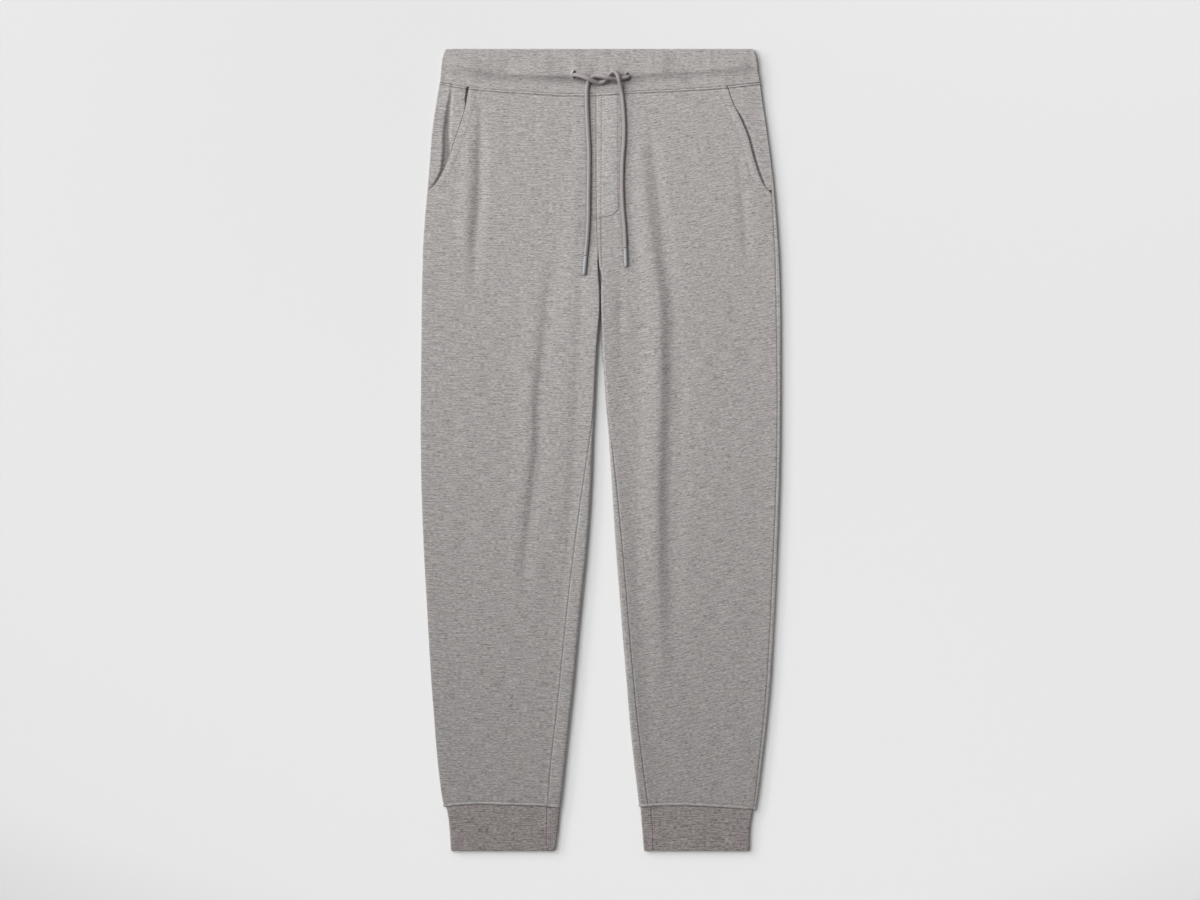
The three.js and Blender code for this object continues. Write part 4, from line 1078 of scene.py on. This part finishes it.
def tube_mesh(name, line, radii):
    """Closed tube along a line with a radius for each point; the ends are capped."""
    tangent = np.gradient(line, axis=0)
    tangent /= np.linalg.norm(tangent, axis=1)[:, None]
    across = np.cross(tangent[0], [0, 0, 1.0])
    if np.linalg.norm(across) < 0.1:
        across = np.cross(tangent[0], [0, 1.0, 0])
    reach = reaches(line)
    width = 2 * math.pi * CORD_RADIUS / CORD_SIDES
    verts, faces, uvs = [], [], []
    for i in range(len(line)):
        across = across - tangent[i] * np.dot(across, tangent[i])
        across /= np.linalg.norm(across)
        up = np.cross(across, tangent[i])
        for k in range(CORD_SIDES):
            a = 2 * math.pi * k / CORD_SIDES
            verts.append(line[i] + radii[i] * (math.cos(a) * across + math.sin(a) * up))
    for i in range(0, len(line) - 1):
        low, high = i * CORD_SIDES, (i + 1) * CORD_SIDES
        for k in range(CORD_SIDES):
            n = (k + 1) % CORD_SIDES
            faces.append((low + k, low + n, high + n, high + k))
            uvs += [(reach[i], k * width), (reach[i], (k + 1) * width),
                    (reach[i + 1], (k + 1) * width), (reach[i + 1], k * width)]
    faces.append(tuple(range(CORD_SIDES - 1, -1, -1)))
    faces.append(tuple(range(len(verts) - CORD_SIDES, len(verts))))
    uvs += [(0, 0)] * CORD_SIDES + [(reach[-1], 0)] * CORD_SIDES
    return add_piece(name, new_mesh(name, metres(verts), faces, uvs))


# Settings

def colour_setting(name, description, default):
    return FloatVectorProperty(
        name=name, description=description, subtype="COLOR", size=3, default=default, min=0, max=1,
    )


class ClothSettings(bpy.types.PropertyGroup):
    fleece: colour_setting("Fleece", "Main grey of the melange fleece", (0.289, 0.273, 0.2655))
    cuff: colour_setting("Cuffs", "Grey of the ribbed hem cuffs", (0.257, 0.228, 0.223))
    thread: colour_setting("Thread", "Colour of the sewing thread", (0.225, 0.212, 0.207))
    contrast: FloatProperty(
        name="Melange", description="How strongly the light and dark fibres differ",
        default=1.0, min=0, max=3,
    )


class CordSettings(bpy.types.PropertyGroup):
    colour: colour_setting("Cord", "Colour of the knitted drawcord", (0.262, 0.232, 0.236))
    tip: colour_setting("Tips", "Colour of the dipped cord ends", (0.262, 0.264, 0.279))
    length: FloatProperty(
        name="Tip length", description="Length of a dipped end", unit="LENGTH",
        default=TIP_LENGTH * MM, min=0.01, max=0.04,
    )


class StageSettings(bpy.types.PropertyGroup):
    floor: colour_setting("Floor", "Colour of the pale surface", (1.0, 1.0, 1.0))
    key: FloatProperty(
        name="Key light", description="Power of the main soft light", unit="POWER", default=13900.0, min=0,
    )
    fill: FloatProperty(
        name="Fill", description="Strength of the even light from all round", default=0.29, min=0,
    )
    height: FloatProperty(
        name="Camera height", description="Height of the camera over the surface", unit="LENGTH",
        default=3.2, min=1,
    )


# Operators

class JOGGERS_OT_stage(bpy.types.Operator):
    """Pale surface, soft studio light from the upper left and the camera straight above"""
    bl_idname = "joggers.stage"
    bl_label = "Stage"

    def execute(self, context):
        settings = context.scene.joggers_stage
        camera = bpy.data.objects.new("camera", bpy.data.cameras.new("camera"))
        context.collection.objects.link(camera)
        camera.location = (CAMERA_SIDE, 0.0, settings.height)
        camera.data.sensor_width = CAMERA_FILM
        camera.data.lens = CAMERA_FILM * (settings.height - VIEW_LEVEL) / VIEW_WIDTH
        camera.data.clip_end = 20
        context.scene.camera = camera
        deselect_all()
        bpy.ops.mesh.primitive_grid_add(
            x_subdivisions=4, y_subdivisions=4, size=FLOOR_SIZE, location=(0, 0, FLOOR_LEVEL),
        )
        floor = context.object
        floor.name = "floor"
        bpy.ops.object.transform_apply(location=True, rotation=True, scale=True)
        floor.data.materials.append(plain_floor("pale_floor", settings.floor))
        self.key_light(context, Vector(KEY_AIM), Vector(KEY_FROM), settings.key)
        world = bpy.data.worlds.new("studio")
        world.use_nodes = True
        back = world.node_tree.nodes["Background"]
        back.inputs["Color"].default_value = (1.0, 1.0, 1.0, 1)
        back.inputs["Strength"].default_value = settings.fill
        context.scene.world = world
        context.scene.view_settings.view_transform = "Standard"
        return {"FINISHED"}

    def key_light(self, context, aim, direction, power):
        """A square bank of lamps that all point at one place."""
        across = direction.cross(Vector((0, 0, 1))).normalized()
        upward = across.cross(direction).normalized()
        middle = (KEY_LAMPS_A_SIDE - 1) / 2
        for row in range(KEY_LAMPS_A_SIDE):
            for column in range(KEY_LAMPS_A_SIDE):
                data = bpy.data.lights.new(f"key_{row}_{column}", "SPOT")
                data.energy = power / KEY_LAMPS_A_SIDE ** 2
                data.shadow_soft_size = KEY_SIZE
                data.spot_size = 2 * math.atan(KEY_REACH / KEY_DISTANCE)
                data.spot_blend = 1.0
                lamp = bpy.data.objects.new(data.name, data)
                context.collection.objects.link(lamp)
                offset = across * (column - middle) + upward * (row - middle)
                lamp.location = aim + direction.normalized() * KEY_DISTANCE + offset * KEY_SPACING
                lamp.rotation_mode = "QUATERNION"
                lamp.rotation_quaternion = (aim - lamp.location).to_track_quat("-Z", "Y")


class JOGGERS_OT_drawcord(bpy.types.Operator):
    """Both ends of the knitted drawcord with their half knot and dipped tips"""
    bl_idname = "joggers.drawcord"
    bl_label = "Drawcord"

    def execute(self, context):
        settings = context.scene.joggers_cord
        cord_material = knitted_cord("knitted_cord", settings.colour)
        tip_material = dipped_end("dipped_end", settings.tip)
        tip_length = settings.length / MM
        for name, route in CORD_ROUTES.items():
            line, length = cord_line(route)
            reach = np.linspace(0, length, len(line))
            cut = length - tip_length - TIP_GAP
            body = line[reach <= cut]
            cord = tube_mesh(f"cord_{name}", body, np.full(len(body), CORD_RADIUS - 0.02))
            finish_piece(cord, cord_material, [f"drawcord_{name}"])
            at = length - tip_length + TIP["reach"] * tip_length / TIP_LENGTH
            tip = tube_mesh(f"tip_{name}", at_reach(at, reach, line), TIP["radius"])
            finish_piece(tip, tip_material, [f"cord_tip_{name}"])
        return {"FINISHED"}


class JOGGERS_OT_fronts(bpy.types.Operator):
    """Front panels of both legs with their folds, seams and slant pocket edges"""
    bl_idname = "joggers.fronts"
    bl_label = "Front panels"

    def execute(self, context):
        settings = context.scene.joggers_cloth
        near = [0, 0.35, 0.75, 1.2, 1.8, 2.6, 3.6, 4.8, 6.2, 7.6, 8.8, 9.6, 10.2, 10.8, 11.6, 12.8, 14.4]
        centre = [0, 0.35, 0.75, 1.2, 1.8, 2.6] + [3.4 + 0.85 * k for k in range(40)]
        for side, seed in (("right", 0.0), ("left", 0.31)):
            grids = []
            for row in panel_rows(more=np.arange(299, 320, 0.7) if side == "left" else ()):
                section = section_at(side, float(row))
                start = front_start(section)
                end = upper_length(section) - section.wrap - HALF_GAP
                lengths = shared(near, centre, 52, start, end)
                grids.append(cloth_row(section, upper_point, lengths, 1, front_detail, end))
            piece = wall_mesh(f"front_panel_{side}", grids)
            material = melange(
                f"fleece_front_{side}", settings.fleece, COURSE_TURN[side], seed, settings.contrast,
            )
            finish_piece(piece, material, [f"front_{side}"])
        return {"FINISHED"}


class JOGGERS_OT_backs(bpy.types.Operator):
    """Back panels that lie on the surface and come round the edges of the legs"""
    bl_idname = "joggers.backs"
    bl_label = "Back panels"

    def execute(self, context):
        settings = context.scene.joggers_cloth
        for side, seed in (("right", 0.83), ("left", 0.57)):
            grids = []
            for row in panel_rows(step=4.2):
                section = section_at(side, float(row))
                begin = -section.over + HALF_GAP
                end = lower_length(section) + section.wrap - HALF_GAP
                flat_start = QUARTER + 1.5
                flat_end = end - section.wrap - QUARTER
                room = flat_start - begin - 1.2
                head = begin + np.concatenate([[0, 0.35, 0.75, 1.2], 1.2 + room * np.arange(1, 9) / 8])
                flat = np.linspace(flat_start, flat_end, 22)[1:-1]
                t = np.arange(0, 25) / 24
                curl = flat_end + (end - 1.2 - flat_end) * (0.62 * t + 0.38 * t * t)
                tail = end - np.array([0.75, 0.35, 0])
                lengths = np.concatenate([head, flat, curl, tail])
                grids.append(cloth_row(section, lower_point, lengths, -1, back_detail, end))
            piece = wall_mesh(f"back_panel_{side}", grids)
            material = melange(
                f"fleece_back_{side}", settings.fleece, COURSE_TURN[side], seed, settings.contrast,
            )
            finish_piece(piece, material, [f"back_{side}"])
        return {"FINISHED"}


class JOGGERS_OT_facings(bpy.types.Operator):
    """Pocket facings that show outside the slanted pocket edges"""
    bl_idname = "joggers.facings"
    bl_label = "Pocket facings"

    def execute(self, context):
        settings = context.scene.joggers_cloth
        rows = [r for r in panel_rows(step=1.6) if r >= POCKET_LAST_ROW]
        for side in ("right", "left"):
            grids = []
            for row in rows:
                section = section_at(side, float(row))
                start = front_start(section)
                begin = section.over + HALF_GAP
                t = float(smooth(350, 342, row))
                opened = start - 0.4 - 0.8 * t
                under = 12.0 * (1 - t) + 0.3 * t
                mouth = [2.6, 2.0, 1.5, 1.1, 0.8, 0.5, 0.25]
                lengths = np.concatenate([
                    begin + (opened - 3.2 - begin) * np.arange(0, 44) / 43,
                    opened - np.array(mouth),
                    opened + (under + 0.4) * np.arange(0, 7) / 6,
                ])
                depth = facing_depth(section, lengths, start)
                grids.append(cloth_row(
                    section, upper_point, lengths, 1, facing_detail, sunk=depth, thick=FACING_CLOTH,
                ))
            piece = wall_mesh(f"facing_{side}", grids)
            material = melange(f"fleece_facing_{side}", settings.fleece, 0.05, 1.1, settings.contrast)
            finish_piece(piece, material, [f"pocket_facing_{side}"])
        return {"FINISHED"}


def ring_columns(low, high, count, dense, clear):
    """Even columns from low to high, with the dense ones where they are given."""
    wide = np.linspace(low, high, count)
    wide = [x for x in wide if all(x < d[0] - clear or x > d[-1] + clear for d in dense)]
    return np.sort(np.concatenate([wide] + dense))


def ring_rows(shares, edges, seam, back_seam, far, radius, turn, wall, columns, detail):
    """Grids of a flattened ring: front from low to high, round the end, back, round the other end."""
    grids = []
    for share in shares:
        low = float(follow(edges, "share", share, "low")) + turn
        high = float(follow(edges, "share", share, "high")) - turn
        base_low, base_high = edges["low"][0] + turn, edges["high"][0] - turn
        middle = (base_low + base_high) / 2
        front = columns.copy()
        reach = (base_high - base_low) / 2
        t = (front - middle) / reach
        push = smooth(0.35, 1.0, np.abs(t))
        front = front + np.where(t > 0, high - base_high, low - base_low) * push
        angles = np.linspace(0, math.pi, 15)[1:-1]
        back = np.linspace(high, low, 40)
        x = np.concatenate([front, high + turn * np.sin(angles), back, low - turn * np.sin(angles)])
        z = np.concatenate([
            np.full(len(front), 2 * radius), radius + radius * np.cos(angles),
            np.zeros(len(back)), radius - radius * np.cos(angles),
        ])
        nx = np.concatenate([np.zeros(len(front)), np.sin(angles), np.zeros(len(back)), -np.sin(angles)])
        nz = np.concatenate([np.ones(len(front)), np.cos(angles), -np.ones(len(back)), -np.cos(angles)])
        on_top = z > radius
        base = np.where(on_top, seam(x), back_seam(x))
        y = base + (far - base) * share
        rise = np.where(on_top, detail(x, y), 0.0)
        from_rim = abs(far - y)
        r = wall / 2
        near = np.minimum(from_rim, r)
        sink = (r - np.sqrt(np.maximum(r * r - np.square(r - near), 0))) * RIM_ROUND
        outer = np.stack([x - nx * sink, y, z - nz * sink + nz * rise], axis=1)
        inner = np.stack([x - nx * (wall - sink), y, z - nz * (wall - sink)], axis=1)
        length = reaches(np.stack([x, z], axis=1))
        length = np.append(length, length[-1] + 0.8)
        along = np.stack([length + x[0], np.append(y, y[0])], axis=1)
        grids.append((outer, inner, rise, along))
    return grids


def band_detail(x, y):
    """Relief on the face of the waistband: its trough, ripples, seam edge and buttonholes."""
    above_trough = y - follow(BAND_TROUGH, "x", x, "y")
    reach = np.where(above_trough > 0, follow(BAND_TROUGH, "x", x, "fall"), 7.0)
    trough = follow(BAND_TROUGH, "x", x, "depth") * np.exp(-np.square(above_trough / reach))
    relief = lip(y - waist_seam(x), 0.2, 0.6) - trough
    relief += 0.3 * np.sin(x / 9.7 + 2.1 * np.sin(x / 41)) * np.sin((y - 470) / 13)
    relief += 0.12 * np.sin(x / 3.1 + np.sin(x / 11))
    for px, py, width, height, depth in zip(*PUCKERS.values()):
        relief -= depth * np.exp(-np.square((x - px) / width) - np.square((y - py) / height))
    for hx, hy, lean in zip(*BUTTONHOLES.values()):
        along, across = (y - hy) / HOLE_HALF_LENGTH, x - hx - lean
        width = HOLE_HALF_WIDTH * np.maximum(1 - along * along, 0.0) ** 0.6 + 0.05
        hole = (1 - smooth(0.78, 1.12, np.abs(across) / width)) * (np.abs(along) < 1)
        around = np.exp(-np.square((np.hypot(across, (y - hy) / 1.7) - 4.0) / 1.6))
        relief = relief * (1 - hole) + 0.3 * around * (1 - hole) - HOLE_DEPTH * hole
    return relief


class JOGGERS_OT_waistband(bpy.types.Operator):
    """Folded double waistband over elastic with two sewn buttonholes"""
    bl_idname = "joggers.waistband"
    bl_label = "Waistband"

    def execute(self, context):
        settings = context.scene.joggers_cloth
        low, high = BAND_EDGES["low"][0] + BAND_TURN, BAND_EDGES["high"][0] - BAND_TURN
        dense = [np.arange(x - 5, x + 5.01, 0.42) for x in BUTTONHOLES["x"] + BUTTONHOLES["lean"]]
        columns = ring_columns(low, high, 190, dense, 0.5)
        shares = np.unique(np.concatenate([
            [0, 0.008, 0.018, 0.03, 0.045, 0.065], np.linspace(0.09, 0.28, 9), np.linspace(0.29, 0.62, 40),
            np.linspace(0.64, 0.95, 18), [0.962, 0.972, 0.981, 0.988, 0.994, 0.998, 1.0],
        ]))
        grids = ring_rows(
            shares, BAND_EDGES, lambda x: waist_seam(x) + HALF_GAP,
            lambda x: np.full_like(x, WAIST_LEVEL + HALF_GAP), TOP_LEVEL, BAND_RADIUS, BAND_TURN, BAND_WALL,
            columns, band_detail,
        )
        piece = wall_mesh("waistband_cloth", grids, ring=True)
        material = melange("fleece_band", settings.fleece, 0.0, 2.3, settings.contrast * BAND_CONTRAST)
        finish_piece(piece, material, ["waistband"])
        return {"FINISHED"}


class JOGGERS_OT_cuffs(bpy.types.Operator):
    """Double ribbed cuffs at both hems, each with its own seam"""
    bl_idname = "joggers.cuffs"
    bl_label = "Hem cuffs"

    def execute(self, context):
        settings = context.scene.joggers_cloth
        for side in ("right", "left"):
            edges, own = CUFF_EDGES[side], CUFF_OWN_SEAM[side]
            low, high = edges["low"][0] + CUFF_TURN, edges["high"][0] - CUFF_TURN
            dense = np.arange(own["x"][0] - 5, own["x"][0] + 5.01, 0.5)
            columns = ring_columns(low, high, 62, [dense], 0.6)

            def detail(x, y):
                own_seam = np.abs(x - follow(own, "y", y, "x"))
                soft = 0.18 * np.sin(x / 6.3 + np.sin(y / 9)) * np.sin(y / 12 + x / 31)
                seams = lip(cuff_seam(x) - y, 1.0, 0.8) + lip(own_seam, 0.65, 0.7)
                return seams + swell(own_seam, 2.2, 1.1, 0.12) + soft

            shares = np.unique(np.concatenate([
                [0, 0.006, 0.014, 0.024, 0.038, 0.056], np.linspace(0.08, 0.94, 30),
                [0.955, 0.968, 0.98, 0.989, 0.995, 1.0],
            ]))
            grids = ring_rows(
                shares, edges, lambda x: cuff_seam(x) - HALF_GAP,
                lambda x: under_seam(x) - HALF_GAP, BOTTOM_LEVEL, CUFF_RADIUS, CUFF_TURN, CUFF_WALL,
                columns, detail,
            )
            piece = wall_mesh(f"cuff_rib_{side}", grids, ring=True)
            seed = 3.1 if side == "left" else 3.7
            contrast = settings.contrast * CUFF_CONTRAST
            material = melange(f"rib_{side}", settings.cuff, 0.0, seed, contrast, rib=1.0)
            finish_piece(piece, material, [f"cuff_{side}"])
        return {"FINISHED"}


class JOGGERS_OT_topstitching(bpy.types.Operator):
    """Rows of stitches below the waistband, along the pockets and above the cuffs"""
    bl_idname = "joggers.topstitching"
    bl_label = "Topstitching"

    def execute(self, context):
        thread = sewing_thread("tonal_thread", context.scene.joggers_cloth.thread)
        waist, pockets, cuffs = [], [], []
        for side, sign, waist_ends, cuff_ends in (
            ("right", 1, (-167.0, -6.0), (-197.0, -71.0)), ("left", -1, (-2.0, 162.0), (66.5, 195.0)),
        ):
            xs = np.arange(*waist_ends, STITCH_STEP)
            waist.append(on_front(side, xs, waist_seam(xs) - WAIST_STITCH))
            rows = np.arange(466, 346, -STITCH_STEP)
            xs = follow(POCKET, "y", rows, side) + sign * POCKET_STITCH
            pockets.append(on_front(side, xs, [float(level_at(row, x)) for row, x in zip(rows, xs)]))
            xs = np.arange(*cuff_ends, STITCH_STEP)
            cuffs.append(on_front(side, xs, cuff_seam(xs) + CUFF_STITCH))
        sew("stitches_waist", waist, thread)
        sew("stitches_pockets", pockets, thread)
        sew("stitches_cuffs", cuffs, thread)
        return {"FINISHED"}


class JOGGERS_OT_fly(bpy.types.Operator):
    """Curved double stitch of the mock fly and the lines beside the centre seam"""
    bl_idname = "joggers.fly"
    bl_label = "Mock fly stitches"

    def execute(self, context):
        thread = sewing_thread("fly_thread", context.scene.joggers_cloth.thread)
        runs = []
        for tab, offsets in ((FLY_CURVE, (-1.3, 1.3)), (FLY_LINE, (0.0,)), (CROTCH_LINE, (-1.3, 1.3))):
            for offset in offsets:
                xs, ys = spaced(tab, 2.0, offset)
                keep = xs > -1.0
                runs.append(on_front("left", xs[keep], ys[keep]))
        sew("stitches_fly", runs, thread)
        return {"FINISHED"}


class JOGGERS_OT_buttonhole_stitches(bpy.types.Operator):
    """Close satin stitches round both buttonholes"""
    bl_idname = "joggers.buttonhole_stitches"
    bl_label = "Buttonhole stitches"

    def execute(self, context):
        thread = sewing_thread("buttonhole_thread", shade(context.scene.joggers_cloth.thread, 0.92))
        runs = []
        angles = np.linspace(0, 2 * math.pi, 45)[:-1]
        cos, sin = np.cos(angles), np.sin(angles)
        for hx, hy, lean in zip(*BUTTONHOLES.values()):
            xs = hx + lean + (HOLE_HALF_WIDTH + 0.75) * np.sign(cos) * np.abs(cos) ** 0.8
            ys = hy + (HOLE_HALF_LENGTH + 0.6) * sin
            z = 2 * BAND_RADIUS + np.maximum(band_detail(xs, ys), -0.1)
            points = np.stack([xs, ys, z], axis=1)
            up = np.tile([0.0, 0.0, 1.0], (len(xs), 1))
            runs.append((points, up, np.stack([cos, 0.9 * sin, 0 * sin], axis=1)))
        sew("stitches_buttonholes", runs, thread, length=1.7)
        return {"FINISHED"}


class JOGGERS_PT_panel(bpy.types.Panel):
    """Pieces and settings of the joggers"""
    bl_label = "Joggers"
    bl_idname = "JOGGERS_PT_panel"
    bl_space_type = "VIEW_3D"
    bl_region_type = "UI"
    bl_category = "Joggers"

    def draw(self, context):
        for group in (context.scene.joggers_cloth, context.scene.joggers_cord, context.scene.joggers_stage):
            for name in group.__annotations__:
                self.layout.prop(group, name)
        for operator in OPERATORS:
            self.layout.operator(operator.bl_idname)


OPERATORS = (
    JOGGERS_OT_stage,
    JOGGERS_OT_drawcord,
    JOGGERS_OT_fronts,
    JOGGERS_OT_backs,
    JOGGERS_OT_facings,
    JOGGERS_OT_waistband,
    JOGGERS_OT_cuffs,
    JOGGERS_OT_topstitching,
    JOGGERS_OT_fly,
    JOGGERS_OT_buttonhole_stitches,
)
GROUPS = (ClothSettings, CordSettings, StageSettings)


def register():
    for kind in GROUPS + OPERATORS + (JOGGERS_PT_panel,):
        bpy.utils.register_class(kind)
    bpy.types.Scene.joggers_cloth = PointerProperty(type=ClothSettings)
    bpy.types.Scene.joggers_cord = PointerProperty(type=CordSettings)
    bpy.types.Scene.joggers_stage = PointerProperty(type=StageSettings)


def unregister():
    del bpy.types.Scene.joggers_stage
    del bpy.types.Scene.joggers_cord
    del bpy.types.Scene.joggers_cloth
    for kind in reversed(GROUPS + OPERATORS + (JOGGERS_PT_panel,)):
        bpy.utils.unregister_class(kind)


def main():
    register()
    bpy.ops.joggers.stage()
    bpy.ops.joggers.drawcord()
    bpy.ops.joggers.fronts()
    bpy.ops.joggers.backs()
    bpy.ops.joggers.facings()
    bpy.ops.joggers.waistband()
    bpy.ops.joggers.cuffs()
    bpy.ops.joggers.topstitching()
    bpy.ops.joggers.fly()
    bpy.ops.joggers.buttonhole_stitches()
    bpy.context.view_layer.update()


if __name__ == "__main__":
    main()
